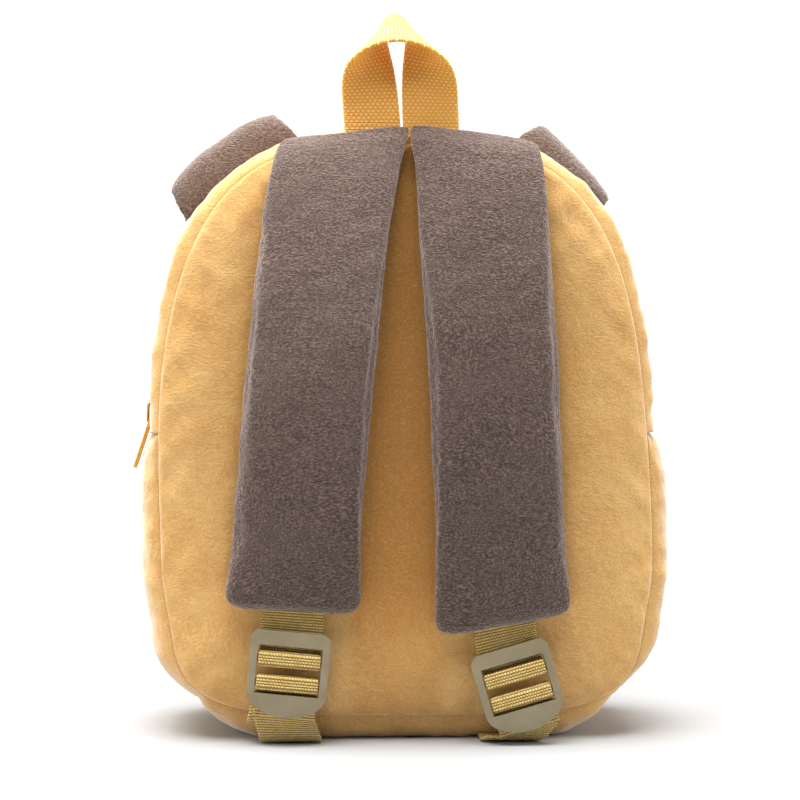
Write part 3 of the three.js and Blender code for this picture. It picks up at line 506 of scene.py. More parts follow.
def mixed(tree, share, a, b):
    """A colour between two colours."""
    node = tree.nodes.new("ShaderNodeMix")
    node.data_type = "RGBA"
    for key, value in (("Factor", share), ("A", a), ("B", b)):
        socket = next(s for s in node.inputs if s.name == key and s.enabled)
        if isinstance(value, bpy.types.NodeSocket):
            tree.links.new(value, socket)
        else:
            socket.default_value = value
    return next(s for s in node.outputs if s.enabled)


def millimetres(tree, pitch):
    """Object coordinates with one unit every pitch millimetres along each axis."""
    place = tree.nodes.new("ShaderNodeTexCoord").outputs["Object"]
    scale = [1 / (MM * p) for p in pitch]
    return add_node(tree, "VectorMath", {0: place, 1: scale}, operation="MULTIPLY")


def noise_of(tree, vector, scale, detail, roughness=0.5):
    """Soft noise that varies over 1 / scale of a vector's units."""
    inputs = {"Vector": vector, "Scale": scale, "Detail": detail, "Roughness": roughness}
    return add_node(tree, "TexNoise", inputs)


def grain_of(tree, size, detail):
    """Noise whose patches are about size millimetres wide."""
    return noise_of(tree, millimetres(tree, [size] * 3), 1.0, detail)


def spread(tree, value, low, high):
    """A value stretched so that low becomes 0 and high becomes 1, held between them."""
    return add_node(tree, "MapRange", {"Value": value, "From Min": low, "From Max": high})


def new_material(name):
    """An empty node material with its shader."""
    material = bpy.data.materials.new(name)
    material.use_nodes = True
    tree = material.node_tree
    return material, tree, tree.nodes["Principled BSDF"]


def set_shader(tree, shader, **values):
    """Sets or links a shader's sockets, named with spaces turned to underscores."""
    for key, value in values.items():
        socket = shader.inputs[key.replace("_", " ")]
        if isinstance(value, bpy.types.NodeSocket):
            tree.links.new(value, socket)
        else:
            socket.default_value = value


def bump(tree, height, millimetre, strength=1.0):
    """Relief of a height from 0 to 1 that stands up to that many millimetres."""
    return add_node(tree, "Bump", {"Height": height, "Distance": millimetre * MM, "Strength": strength})


def plush(name, colours, sheen, pitch, stretch, swirl, relief, contrast):
    """Short crystal plush. Stretched fine noise, swirled by slow noise, lays the pile in streaks
    that turn across the cloth; clumps a few millimetres wide darken where the pile parts, a deeper
    colour read from a vertex attribute paints shade between and beside the straps and low on them,
    and a pale sheen brightens the cloth where it rolls away from the eye."""
    material, tree, shader = new_material(name)
    colour = {part: linear(code) for part, code in colours.items()}
    place = millimetres(tree, [1, 1, 1])
    noise_of(tree, place, 1 / 34, 1.0)
    slow = tree.nodes[-1].outputs["Color"]
    centred = add_node(tree, "VectorMath", {0: slow, 1: (0.5, 0.5, 0.5)}, operation="SUBTRACT")
    pushed = add_node(tree, "VectorMath", {0: centred, "Scale": swirl}, operation="SCALE")
    laid = add_node(tree, "VectorMath", {0: place, 1: pushed}, operation="ADD")
    finer = [1 / (pitch * s) for s in stretch]
    streaks = add_node(tree, "VectorMath", {0: laid, 1: finer}, operation="MULTIPLY")
    fine, clumps, broad = (
        spread(tree, noise_of(tree, vector, scale, 2.0, 0.55), 0.3, 0.7)
        for vector, scale in ((streaks, 1.0), (laid, 1 / 4.5), (laid, 1 / 26))
    )
    dent_and_painted_shade = tree.nodes.new("ShaderNodeAttribute")
    dent_and_painted_shade.attribute_name = "dent_and_painted_shade"
    base = mixed(tree, broad, colour["base"], colour["patches"])
    # Painted shade: the attribute's share mixes in a deeper colour between and beside the straps and low on
    # them.
    base = mixed(tree, dent_and_painted_shade.outputs["Fac"], base, colour["dent_and_painted_shade"])
    for pile, share in ((clumps, contrast["clumps"]), (fine, contrast["gaps"])):
        base = mixed(tree, times(tree, math_node(tree, "SUBTRACT", 1.0, pile), share), base, colour["parted"])
    tips = times(tree, math_node(tree, "POWER", fine, 2.0), contrast["tips"])
    height = plus(tree, times(tree, fine, relief["pile"]), times(tree, clumps, relief["clumps"]))
    set_shader(
        tree,
        shader,
        Base_Color=mixed(tree, tips, base, colour["tips"]),
        Roughness=0.92,
        Specular_IOR_Level=0.12,
        Sheen_Weight=sheen["weight"],
        Sheen_Roughness=sheen["roughness"],
        Sheen_Tint=linear(sheen["tint"]),
        Normal=bump(tree, height, 1.0),
    )
    return material


def golden_plush():
    """Golden body plush: the pile swirls, a little orange where it parts and cream at its tips."""
    return plush(
        "golden_plush",
        # The last colour, a deeper orange, paints shade between and beside the straps.
        dict(base="#cf9f5e", patches="#d9b071", parted="#b57c3a", tips="#f0cf96", dent_and_painted_shade="#ba803e"),
        dict(weight=1.0, roughness=0.4, tint="#fffaf0"),
        pitch=0.7,
        stretch=(1.6, 1.6, 1),
        swirl=20,
        relief=dict(pile=0.13, clumps=0.12),
        contrast=dict(clumps=0.2, gaps=0.2, tips=0.25),
    )


def taupe_plush():
    """Taupe strap plush: the pile is brushed across the strap in close ripples, pinkish at its tips."""
    return plush(
        "taupe_plush",
        # The last colour, a darker taupe, paints shade low on the straps and more over the right one.
        dict(base="#645249", patches="#705e55", parted="#2f2420", tips="#a08b82", dent_and_painted_shade="#4b3b34"),
        dict(weight=0.8, roughness=0.45, tint="#f3e3da"),
        pitch=0.62,
        stretch=(1.8, 1.1, 1),
        swirl=16,
        relief=dict(pile=0.36, clumps=0.1),
        contrast=dict(clumps=0.12, gaps=0.5, tips=0.5),
    )


def cloth_axes(tree):
    """The cloth coordinates in millimetres, across and along."""
    node = tree.nodes.new("ShaderNodeUVMap")
    node.uv_map = "cloth_mm"
    split = tree.nodes.new("ShaderNodeSeparateXYZ")
    tree.links.new(node.outputs[0], split.inputs[0])
    return split.outputs[0], split.outputs[1]


def wave_of(tree, value, pitch, phase=0.0):
    """A smooth wave from 0 to 1 that repeats every pitch."""
    turned = plus(tree, times(tree, value, 2 * math.pi / pitch), phase)
    return times(tree, plus(tree, math_node(tree, "SINE", turned), 1.0), 0.5)


def strap_webbing():
    """Khaki polypropylene webbing: ribs across its width every 1.1 mm, each broken into
    beads 1.2 mm wide that shift by half on every second rib, thread-coloured on top with painted shade
    between."""
    material, tree, shader = new_material("strap_webbing")
    across, along = cloth_axes(tree)
    rib, bead = 1.1, 1.2
    ribs = wave_of(tree, along, rib, math.pi / 2)
    row = times(tree, math_node(tree, "ROUND", math_node(tree, "DIVIDE", along, rib)), bead / 2)
    threads = wave_of(tree, plus(tree, across, row), bead)
    height = times(tree, ribs, plus(tree, times(tree, threads, 0.75), 0.25))
    wear = grain_of(tree, 2.2, 3.0)
    thread = mixed(tree, spread(tree, wear, 0.35, 0.65), linear("#e2bd62"), linear("#f0d284"))
    # Painted shade: the colour falls to brown in the hollows between the ribs and beads.
    set_shader(
        tree,
        shader,
        Base_Color=mixed(tree, spread(tree, height, 0.05, 0.45), linear("#7a5c1e"), thread),
        Roughness=0.55,
        Sheen_Weight=0.15,
        Normal=bump(tree, height, 0.4),
    )
    return material


def loop_webbing():
    """Amber webbing of the grab loop: a basket of raised bright floats every 2 by 1.4 mm, set in
    half-step rows over close ribs, and thin enough that light from behind glows through it."""
    material, tree, shader = new_material("loop_webbing")
    across, along = cloth_axes(tree)
    row, pair = 1.4, 2.0
    stagger = times(tree, math_node(tree, "FLOOR", math_node(tree, "DIVIDE", along, row)), math.pi)
    dots = times(tree, wave_of(tree, along, row), wave_of(tree, across, pair, stagger))
    close = wave_of(tree, along, row / 2)
    height = plus(tree, times(tree, dots, 0.7), times(tree, close, 0.3))
    # Painted shade: the colour darkens between the close ribs.
    body = mixed(tree, close, linear("#dfa534"), linear("#eebc50"))
    set_shader(
        tree,
        shader,
        Base_Color=mixed(tree, spread(tree, dots, 0.3, 0.8), body, linear("#ffe09a")),
        Roughness=0.5,
        Subsurface_Weight=0.5,
        Subsurface_Radius=(1.0, 0.75, 0.3),
        Subsurface_Scale=0.003,
        Normal=bump(tree, height, 0.35),
    )
    return material


def buckle_plastic():
    """Olive acetal of the buckles: a fine moulded grain with slightly cloudy colour and a soft gloss."""
    material, tree, shader = new_material("buckle_plastic")
    grain, cloud = grain_of(tree, 0.35, 3.0), grain_of(tree, 9, 2.0)
    set_shader(
        tree,
        shader,
        Base_Color=mixed(tree, spread(tree, cloud, 0.3, 0.7), linear("#82765a"), linear("#91866a")),
        Roughness=plus(tree, times(tree, grain, 0.14), 0.34),
        Specular_IOR_Level=0.5,
        Normal=bump(tree, grain, 0.02),
    )
    return material


def zip_tape_cloth():
    """Woven zip tape: a close plain weave with a warp every half millimetre."""
    material, tree, shader = new_material("zip_tape_cloth")
    across, along = cloth_axes(tree)
    height = times(tree, wave_of(tree, across, 0.5), wave_of(tree, along, 0.42))
    # Painted shade: the colour darkens in the weave's hollows.
    set_shader(
        tree,
        shader,
        Base_Color=mixed(tree, height, linear("#b9791f"), linear("#e0a548")),
        Roughness=0.75,
        Normal=bump(tree, height, 0.2),
    )
    return material


def coil_nylon():
    """Dyed nylon of the zip's coil: smooth, a little waxy, paler on its worn tops."""
    material, tree, shader = new_material("coil_nylon")
    worn = grain_of(tree, 1.4, 2.0)
    set_shader(
        tree,
        shader,
        Base_Color=mixed(tree, spread(tree, worn, 0.3, 0.7), linear("#cf8c2a"), linear("#e3a646")),
        Roughness=0.38,
    )
    return material


def enamelled_metal():
    """Yellow enamel over die-cast zinc: glossy paint with faint orange peel and rubbed patches."""
    material, tree, shader = new_material("enamelled_metal")
    peel, rubbed = grain_of(tree, 0.8, 2.0), grain_of(tree, 3, 3.0)
    set_shader(
        tree,
        shader,
        Base_Color=mixed(tree, spread(tree, rubbed, 0.45, 0.75), linear("#d1922b"), linear("#e5b04d")),
        Roughness=0.32,
        Metallic=0.25,
        Coat_Weight=0.3,
        Coat_Roughness=0.2,
        Normal=bump(tree, peel, 0.03),
    )
    return material


PLUSH = golden_plush()
TAUPE = taupe_plush()
WEBBING = strap_webbing()
LOOP_CLOTH = loop_webbing()
PLASTIC = buckle_plastic()
TAPE_CLOTH = zip_tape_cloth()
NYLON = coil_nylon()
ENAMEL = enamelled_metal()


# Stuffed pieces: straps and ears


def pad_skin(side, stations=69, sides=44):
    """A strap's cloth skin before it is stuffed: superellipse sections of exponent 2 / 0.72 every 3 mm along
    the pad, closer at its ends, narrowed to a round corner of 7 mm at its free end and 3 mm at its
    sewn end."""
    s, pad = SECTIONS[side], PADS[side]
    t = np.linspace(0, 1, 1500)
    run = length_along(through(s["centre"], t))
    even = np.linspace(0, 1, stations)
    even = lerp(even, 0.5 - 0.5 * np.cos(even * math.pi), 0.45) * run[-1]
    t = np.interp(even, run, t)
    centre, wide, away = through(s["centre"], t), unit(through(s["wide"], t)), unit(through(s["away"], t))
    width, thickness = through(np.stack([s["width"], s["thickness"]], -1), t).T
    corner = 0
    for from_end, radius in ((even, 3), (run[-1] - even, 7)):
        corner = corner + radius * (1 - np.sqrt(1 - (1 - np.minimum(from_end / radius, 1)) ** 2))
    fuller = smooth(even, 10, 45)
    centre[:, 0] += pad["nudge"] * fuller
    centre += np.cross(wide, away) * (pad["longer"] * smooth(even, run[-1] - 60, run[-1]))[:, None]
    angle = (np.arange(sides) + 0.5) * 2 * math.pi / sides
    half = width / 2 + lerp(1.5, pad["plump"], fuller) - 0.85 * corner
    across = signed_power(np.cos(angle), 0.72) * half[:, None]
    deep = signed_power(np.sin(angle), 0.72) * (thickness / 2 + 0.2)[:, None]
    rings = centre[:, None] + wide[:, None] * across[..., None] + away[:, None] * deep[..., None]
    return in_scene("skin_pad_" + side, mesh_of("skin", *loft(rings)))


def ear_skin(side, voxel=2, shrink=0.15):
    """An ear's mesh as an even cloth skin, slightly smaller so that its stuffing can fill it."""
    node = "ear_" + side
    piece = in_scene("skin_" + node, merged_copy(node))
    remesh = piece.modifiers.new("even", "REMESH")
    remesh.mode = "VOXEL"
    remesh.voxel_size = voxel * MM
    soften = piece.modifiers.new("soften", "SMOOTH")
    soften.factor = 0.5
    soften.iterations = 8
    even = evaluated_mesh(piece)
    piece.modifiers.clear()
    piece.data = even
    set_places(even, places_of(even) - normals_of(even) * shrink)
    return piece


def stuff(skins, caps, frames=20):
    """Blows each cloth skin up with soft pressure for a few frames, and keeps each point within its
    cap of where it started."""
    scene = bpy.context.scene
    starts = {name: places_of(piece.data) for name, piece in skins.items()}
    for piece in skins.values():
        cloth = piece.modifiers.new("stuffing", "CLOTH")
        cloth.settings.quality = 5
        cloth.settings.mass = 0.3
        cloth.settings.tension_stiffness = 18
        cloth.settings.compression_stiffness = 18
        cloth.settings.bending_stiffness = 2.5
        cloth.settings.use_pressure = True
        cloth.settings.uniform_pressure_force = 4
        cloth.settings.effector_weights.gravity = 0
        cloth.point_cache.frame_start = 1
        cloth.point_cache.frame_end = frames
    for number in range(1, frames + 1):
        scene.frame_set(number)
    blown = {name: evaluated_mesh(piece) for name, piece in skins.items()}
    scene.frame_set(1)
    for name, piece in skins.items():
        piece.modifiers.clear()
        move = places_of(blown[name]) - starts[name]
        move -= move.mean(0)
        length = np.linalg.norm(move, axis=1, keepdims=True)
        move *= np.minimum(1, caps[name] / np.maximum(length, 1e-6))
        set_places(piece.data, starts[name] + move)


def subdivided(piece, levels):
    """The piece's mesh after rounds of smooth subdivision."""
    smoother = piece.modifiers.new("smoother", "SUBSURF")
    smoother.levels = levels
    smoother.render_levels = levels
    mesh = evaluated_mesh(piece)
    bpy.data.objects.remove(piece)
    return mesh


def strap_pad(side, skin):
    """A stuffed strap: clumps and slow dents over the cloth, and a seam down each flank where the
    two faces are sewn, drawn in by 0.5 mm and gathered every centimetre or so."""
    mesh = subdivided(skin, 2)
    points = places_of(mesh)
    across, deep, wide = pad_place(points, side)
    flank = smooth(np.abs(across) / (PAD_WIDTH / 2), 0.8, 0.95)
    gather = 1 + 0.35 * ripples(points, 11, 31)
    groove = 0.5 * flank * np.exp(-((deep / 0.9) ** 2)) * gather
    height = 0.3 * ripples(points, 34, 32) + 0.14 * ripples(points, 9, 33)
    height += 0.09 * ripples(points, 3, 34)
    points = points + normals_of(mesh) * (height - 0.1)[:, None]
    points -= wide * (np.sign(across) * groove)[:, None]
    set_places(mesh, points)
    # Painted shade on the strap: deeper towards its foot, from its own share at the top.
    set_painted_shade(mesh, lerp(PADS[side]["dent_and_painted_shade"], 0.95, 1 - smooth(points[:, 2], 60, 200)))
    piece = finish_piece(f"strap_{side}", mesh, TAUPE, f"strap_pad_{side}")


def bowed_ear(points, side):
    """The ear's points moved out from the arch, most over the middle of its fold."""
    ear = EARS[side]
    arch = np.flatnonzero(OUTLINE_UP > WIDEST_UP)
    off = np.abs(OUTLINE_X[arch] - sway_at(OUTLINE_UP[arch]) - ear["along"] * HALF_WIDTH)
    x, up, out_x, out_up = outline_frame(RUN[arch[np.argmin(off)]] / LENGTH)
    tilt = math.radians(ear["turn"])
    cosine, sine = math.cos(tilt), math.sin(tilt)
    out = np.array([out_x * cosine - out_up * sine, 0, out_x * sine + out_up * cosine])
    wide = np.array([-out[2], 0, out[0]])
    offset = points - [x, 0, up]
    across = np.clip(offset @ wide / (ear["width"] / 2), -1, 1)
    more = ear["more"] * (1 - across**4) * smooth(offset @ out, 0, ear["rise"])
    return points + out * more[:, None]


def flop_ear(side, skin):
    """A folded ear: two layers of plush over thin wadding, with soft dents."""
    mesh = subdivided(skin, 1)
    points = bowed_ear(places_of(mesh), side)
    height = 0.22 * ripples(points, 22, 41) + 0.08 * ripples(points, 3, 42)
    set_places(mesh, points + normals_of(mesh) * (height - 0.08)[:, None])
    piece = finish_piece(f"flop_ear_{side}", mesh, TAUPE, f"ear_{side}")


def make_stuffed_pieces():
    """Straps and ears, all blown up in one run."""
    skins, caps = {}, {}
    for side in PADS:
        skins["pad_" + side] = pad_skin(side)
        caps["pad_" + side] = 1.4
        skins["ear_" + side] = ear_skin(side)
        caps["ear_" + side] = 0.8
    stuff(skins, caps)
    for side in PADS:
        strap_pad(side, skins["pad_" + side])
        flop_ear(side, skins["ear_" + side])


# Body


def grid_normals(grid, closed, towards):
    """Unit normals of a grid of points, on the side of the grid that a direction points to."""
    if closed:
        around = np.roll(grid, -1, axis=1) - np.roll(grid, 1, axis=1)
    else:
        around = np.gradient(grid, axis=1)
    normals = unit(np.cross(np.gradient(grid, axis=0), around))
    return normals * np.where((normals * towards).sum(-1, keepdims=True) < 0, -1, 1)


def plush_height(points, seed):
    """Worn-in plush in millimetres: slow swells 48 mm apart, dents 15 mm apart and clumps 3.2 mm apart."""
    return (
        0.5 * ripples(points, 48, seed)
        + 0.2 * ripples(points, 15, seed + 1)
        + 0.1 * ripples(points, 3.2, seed + 2)
    )


def plush_panel(name, side, crown, spokes, rings, seed):
    """A panel: rings of the seam's outline drawn in to a hub, domed by the root of one less the
    share's fourth power. Plush height and gathers along the seam move it along its normal, and
    the straps press the back one in."""
    angle = np.arange(spokes) / spokes

    def surface(shares, inset, height):
        x, up, out_x, out_up = outline_frame(angle)
        rim_x, rim_up = x - out_x * inset, up - out_up * inset
        level = lerp(WIDEST_UP, rim_up, shares[:, None])
        place_x = (rim_x - sway_at(rim_up)) * shares[:, None] + sway_at(level)
        depth = HALF_DEPTH + SEAM_GAP / 2 + height * np.sqrt(np.maximum(0, 1 - shares[:, None] ** 4))
        return np.stack([place_x, side * depth * np.ones_like(place_x), level], -1)

    shares = rolled_shares(0.9, rings, 14)[::-1]
    outer = surface(shares, 0, crown)
    centre = np.array([0, 0, 120])
    normals = grid_normals(outer, True, outer - centre)
    gathers = smooth(shares, 0.84, 0.95) * (1 - smooth(shares, 0.985, 1))
    height = plush_height(outer, seed) * (1 - smooth(shares, 0.97, 1))[:, None]
    height += 0.5 * gathers[:, None] * ripples(outer * [1, 0, 1], 10, seed + 5)
    if side < 0:
        height -= 0.8 * under_pads(outer[..., 0], outer[..., 2])
    inner = surface(np.array([1, 0.98, 0.9, 0.7, 0.4, 0.0]), WALL, crown - WALL)
    points, faces = dome(outer + normals * height[..., None], inner)
    # The back panel's plush gets painted shade between and beside the straps.
    dent_and_painted_shade = shade_between_pads(points[:, 0], points[:, 2]) if side < 0 else None
    piece = add_piece(name + "_plush", points, faces, PLUSH, name, dent_and_painted_shade=dent_and_painted_shade)


def over_outline(rims, out, depth):
    """Places out from the seam line, at a depth."""
    x, up, out_x, out_up = (v[:, None] for v in rims)
    return np.stack([x + out_x * out, depth * np.ones_like(x + out), up + out_up * out], -1)


def outwards(rims):
    """The outward directions of frames along the seam line."""
    return np.stack([rims[2], 0 * rims[2], rims[3]], -1)[:, None]


def lower_bulge(from_end, out_up):
    """The lower band's swelling out of the line of the seams: rounded over 28 mm at its sewn ends,
    less at the bottom corners, and flat against the floor below."""
    rounded = np.sqrt(1 - (1 - np.minimum(from_end / SHOULDER, 1)) ** 2)
    side = lerp(9, 3, smooth(-out_up, 0.05, 0.7))
    turned = np.clip((np.degrees(np.arcsin(np.clip(-out_up, -1, 1))) - 58) / 26, 0, 1)
    return lerp(lerp(1.5, side, rounded), 14.5, turned)


def plush_lower_band():
    """The band round the sides and base: across it, the root of one less the share's fourth power
    times the bulge; gathers along both seams and across the sewn ends, and a lower left corner that
    has settled outwards."""
    half = rolled_shares(0.86, 22, 9)
    across = np.concatenate([-half[:0:-1], half])
    end = END_SHARE - SEAM_GAP / 2 / LENGTH
    even = np.linspace(-1, 1, 401)
    share = end * lerp(even, np.sin(even * math.pi / 2), 0.75)
    rims = outline_frame(share)
    out_up = rims[3][:, None]
    from_end = ((end - np.abs(share)) * LENGTH)[:, None]
    out = lower_bulge(from_end, out_up) * np.sqrt(np.maximum(0, 1 - np.abs(across) ** 4))
    depth = across * (HALF_DEPTH - SEAM_GAP / 2)
    outer = over_outline(rims, out, depth)
    normals = grid_normals(outer, False, outwards(rims))
    free = 1 - smooth(np.abs(across), 0.95, 1)
    height = plush_height(outer, 60) * free * smooth(from_end, 0, 6)
    seams = smooth(np.abs(across), 0.6, 0.85) * free
    height += 0.55 * seams * ripples(outer * [1, 0, 1], 11, 66)
    for most, level, reach in ((3.4, 22, 17), (1.3, 56, 12)):
        settled = most * np.exp(-(((outer[..., 2] - level) / reach) ** 2))
        height += settled * smooth(-outer[..., 0], 60, 92) * (1 - np.abs(across) ** 4)
    near_end = smooth(from_end, 1, 10) * (1 - smooth(from_end, 12, 30))
    height += 0.6 * near_end * ripples(outer * [0, 1, 0], 13, 67)
    inner = outer - outwards(rims) * WALL
    inner[..., 2] = np.maximum(outer[..., 2], 0) - out_up * WALL
    outer = outer + normals * height[..., None]
    outer[..., 2] = np.maximum(outer[..., 2], 0)
    points, faces = wall(outer, inner)
    piece = add_piece("lower_band_plush", points, faces, PLUSH, "lower_band")


def arch_swell(from_end):
    """How far the upper band has swollen at a distance from its sewn end, as a share."""
    return lerp(0.72, 1, smooth(from_end, 0, SHOULDER))


def arch_stations(start_gap, end_gap, steps):
    """Frames along the arch between the zip's ends, with the distance from the nearer end."""
    share = np.linspace(END_SHARE + start_gap / LENGTH, 1 - END_SHARE - end_gap / LENGTH, steps + 1)
    from_end = np.minimum(share - END_SHARE, 1 - END_SHARE - share) * LENGTH
    return outline_frame(share), from_end, (share - share[0]) * LENGTH


def plush_arch_strip(side):
    """One strip of the upper band: it rolls over at its seam, crowns, and falls to a folded edge
    along the zip, which is a half round."""
    rims, from_end, _ = arch_stations(SEAM_GAP / 2, SEAM_GAP / 2, 340)
    swell = arch_swell(from_end)[:, None]
    a = np.concatenate([np.linspace(0, 0.3, 12) ** 1.5 / 0.3**0.5, np.linspace(0.34, 1, 17)])
    rise = (1 - (1 - np.minimum(a / 0.36, 1)) ** 3) ** 0.7
    rise *= 1 - (1 - ZIP_EDGE / UPPER_BULGE) * np.clip((a - 0.4) / 0.6, 0, 1) ** 3
    rise = np.concatenate([rise, np.full(5, ZIP_EDGE / UPPER_BULGE)])
    fold = np.linspace(0, math.pi / 2, 6)[1:]
    fold_at = 5.5 + FOLD_RADIUS
    depth = lerp(HALF_DEPTH - SEAM_GAP / 2, fold_at, a)
    depth = side * np.concatenate([depth, fold_at - FOLD_RADIUS * np.sin(fold)])
    out = UPPER_BULGE * rise * swell
    out[:, -5:] -= FOLD_RADIUS * (1 - np.cos(fold))
    outer = over_outline(rims, out, depth)
    normals = grid_normals(outer, False, outwards(rims))
    free = np.concatenate([smooth(a, 0, 0.12) * (1 - smooth(a, 0.7, 1)), np.zeros(5)])
    height = plush_height(outer, 70 + side) * free * smooth(from_end, 0, 8)[:, None]
    height += 1.7 * np.exp(-(((from_end[:, None] - 75) / 26) ** 2)) * free
    height += 0.45 * free * ripples(outer * [1, 0, 1], 10, 75 + side)
    inner_out = np.minimum(out - WALL, (ZIP_EDGE - WALL) * swell + 0 * out)
    inner_out[:, : len(a)] = out[:, : len(a)] - WALL
    points, faces = wall(outer + normals * height[..., None], over_outline(rims, inner_out, depth))
    name = "upper_band_" + ("back" if side < 0 else "front")
    piece = add_piece(name + "_plush", points, faces, PLUSH, name)


# Zip


def tape_top(from_end):
    """The height of the zip tape's outer face over the seam line."""
    return (ZIP_EDGE - WALL) * arch_swell(from_end) - SEAM_GAP


def cloth_uv(across, run):
    """Cloth coordinates of a loft's rings and its two hubs, across and along in millimetres."""
    uv = np.stack(np.broadcast_arrays(across, run[:, None]), -1).reshape(-1, 2)
    return np.vstack([uv, [[0, 0], [0, run[-1]]]])


def zip_tape(side):
    """A woven tape under each folded edge: a flat bar along the arch with its cloth laid flat."""
    rims, from_end, run = arch_stations(SEAM_GAP, SEAM_GAP, 300)
    depth = np.linspace(SEAM_GAP, TAPE_WIDTH, 12)
    depth = np.concatenate([depth, depth[::-1]])
    height = np.repeat([0.0, -1.0], 12)
    base = tape_top(from_end)[:, None]
    rings = over_outline(rims, base + height, side * depth)
    points, faces = loft(rings)
    name = "zip_tape_" + ("back" if side < 0 else "front")
    add_piece(name + "_cloth", points, faces, TAPE_CLOTH, name, uv=cloth_uv(depth, run))


def zip_coil():
    """The closed coil: half turns of bent monofilament every 0.72 mm, from each side in turn, each a
    short tube over an arch that dips at the middle where the two sides mesh."""
    pitch, radius, sides, steps = 0.72, 0.4, 5, 6
    start, end = 5.5, 6.4
    _, _, run = arch_stations(start, end, 1)
    count = int(run[-1] / pitch)
    (x, up, out_x, out_up), from_end, _ = arch_stations(start + 0.5, end + 0.5, count - 1)
    path = np.linspace(0, 1, steps)
    depth = lerp(-COIL_WIDTH / 2 + radius, 0.9, path)
    rise = 1.55 * np.sqrt(np.maximum(0, 1 - ((path - 0.62) / 0.62) ** 2))
    slope = unit(np.stack([np.gradient(depth), np.gradient(rise)], -1))
    around = np.arange(sides) * 2 * math.pi / sides
    over = rise[:, None] + radius * np.cos(around) * slope[:, :1]
    over = over + (tape_top(from_end) + SEAM_GAP + radius)[:, None, None]
    deep = depth[:, None] - radius * np.cos(around) * slope[:, 1:]
    along = 0.8 * radius * np.sin(around)
    handed = np.where(np.arange(count) % 2 == 0, 1, -1)[:, None, None]
    x, up, out_x, out_up = (v[:, None, None] for v in (x, up, out_x, out_up))
    across, high = out_x * over - out_up * along, out_up * over + out_x * along
    rings = np.stack([x + across, handed * deep, up + high], -1)
    hubs = rings[:, [0, -1]].mean(2)
    turns = np.concatenate([rings.reshape(count, -1, 3), hubs], 1)
    faces = []
    for first in (0, 1):
        starts = np.arange(first, count, 2)[:, None, None] * turns.shape[1]
        _, one = loft(rings[first])
        for corners in (4, 3):
            some = np.array([f for f in one if len(f) == corners])
            faces += (some + starts).reshape(-1, corners).tolist()
    add_piece("zip_coil_turns", turns.reshape(-1, 3), faces, NYLON, "zip_coil")


def bevelled(name, node, material, body, width):
    """A hard piece of the frame with its edges rounded."""
    piece = finish_piece(name, merged_copy(node), material, node, body)
    piece.data.polygons.foreach_set("use_smooth", np.zeros(len(piece.data.polygons), bool))
    bevel = piece.modifiers.new("rounded", "BEVEL")
    bevel.width = width * MM
    bevel.segments = 3
    bevel.limit_method = "ANGLE"
    bevel.angle_limit = math.radians(35)
    bevel.harden_normals = False
    mesh = evaluated_mesh(piece)
    piece.modifiers.clear()
    piece.data = mesh
    mesh.shade_smooth()
    mesh.set_sharp_from_angle(angle=math.radians(50))
    return piece


# Webbing


def rounded_route(corners, step=15):
    """A route of (place, direction across, bend radius) with each corner turned into an arc and
    its straight runs cut into millimetres."""
    places, wides = [], []
    for k, (at, wide, bend) in enumerate(corners):
        turn = 0
        if 0 < k < len(corners) - 1:
            back, on = unit(corners[k - 1][0] - at), unit(corners[k + 1][0] - at)
            turn = math.pi - math.acos(np.clip(back @ on, -1, 1))
        if turn < math.radians(1):
            places.append(at)
            wides.append(wide)
            continue
        centre = at + unit(back + on) * bend / math.cos(turn / 2)
        reach = bend * math.tan(turn / 2)
        first, last = at + back * reach - centre, at + on * reach - centre
        for t in np.linspace(0, 1, math.ceil(turn / math.radians(step)) + 1):
            spoke = first * math.sin((1 - t) * turn) + last * math.sin(t * turn)
            places.append(centre + spoke / math.sin(turn))
            wides.append(wide)
    places, wides = np.array(places), np.array(wides)
    run = length_along(places)
    counts = np.maximum(1, np.ceil(np.diff(run))).astype(int)
    pieces = [np.linspace(a, b, n, endpoint=False) for a, b, n in zip(run, run[1:], counts)]
    cuts = np.concatenate(pieces + [run[-1:]])

    def at_cuts(values):
        return np.stack([np.interp(cuts, run, values[:, k]) for k in range(3)], -1)

    return at_cuts(places), unit(at_cuts(wides)), cuts


def flat_section():
    """Round a webbing's section: flat faces and half-round selvedges, as across and deep in -1 to 1."""
    face = np.linspace(-0.93, 0.93, 14)
    angle = np.linspace(-math.pi / 2, math.pi / 2, 6)[1:-1]
    across = np.concatenate([face[::-1], -0.93 - 0.07 * np.cos(angle), face, 0.93 + 0.07 * np.cos(angle)])
    deep = np.concatenate([np.ones(14), -np.sin(angle), -np.ones(14), np.sin(angle)])
    return across, deep


def flat_web(places, wides, along, width, thickness, mitre):
    """Rings of a webbing's section at places, turned across and along as given."""
    thick = unit(np.cross(along, wides))
    across, deep = flat_section()
    return (
        places[:, None]
        + wides[:, None] * (across * width / 2)[:, None]
        + thick[:, None] * (deep[:, None] * (thickness / 2 * mitre)[:, None, None])
    )


def add_web(name, node, rings, run, width, material):
    """A webbing's piece from its rings, with cloth coordinates laid across and along it."""
    points, faces = loft(rings)
    uv = cloth_uv((flat_section()[0] + 1) * width / 2, run)
    add_piece(name, points, faces, material, node, uv=uv)


def ribbon(name, node, route):
    """Strap webbing along a route, mitred at its bends so that its thickness stays the same."""
    places, wides, cuts = route
    steps = unit(np.diff(places, axis=0))
    arriving, leaving = np.vstack([steps[:1], steps]), np.vstack([steps, steps[-1:]])
    along = unit(arriving + leaving)
    mitre = 1 / np.maximum((along * leaving).sum(-1), 0.5)
    web = flat_web(places, wides, along, WEB_WIDTH, WEB_THICKNESS, mitre)
    add_web(name, node, web, cuts, WEB_WIDTH, WEBBING)


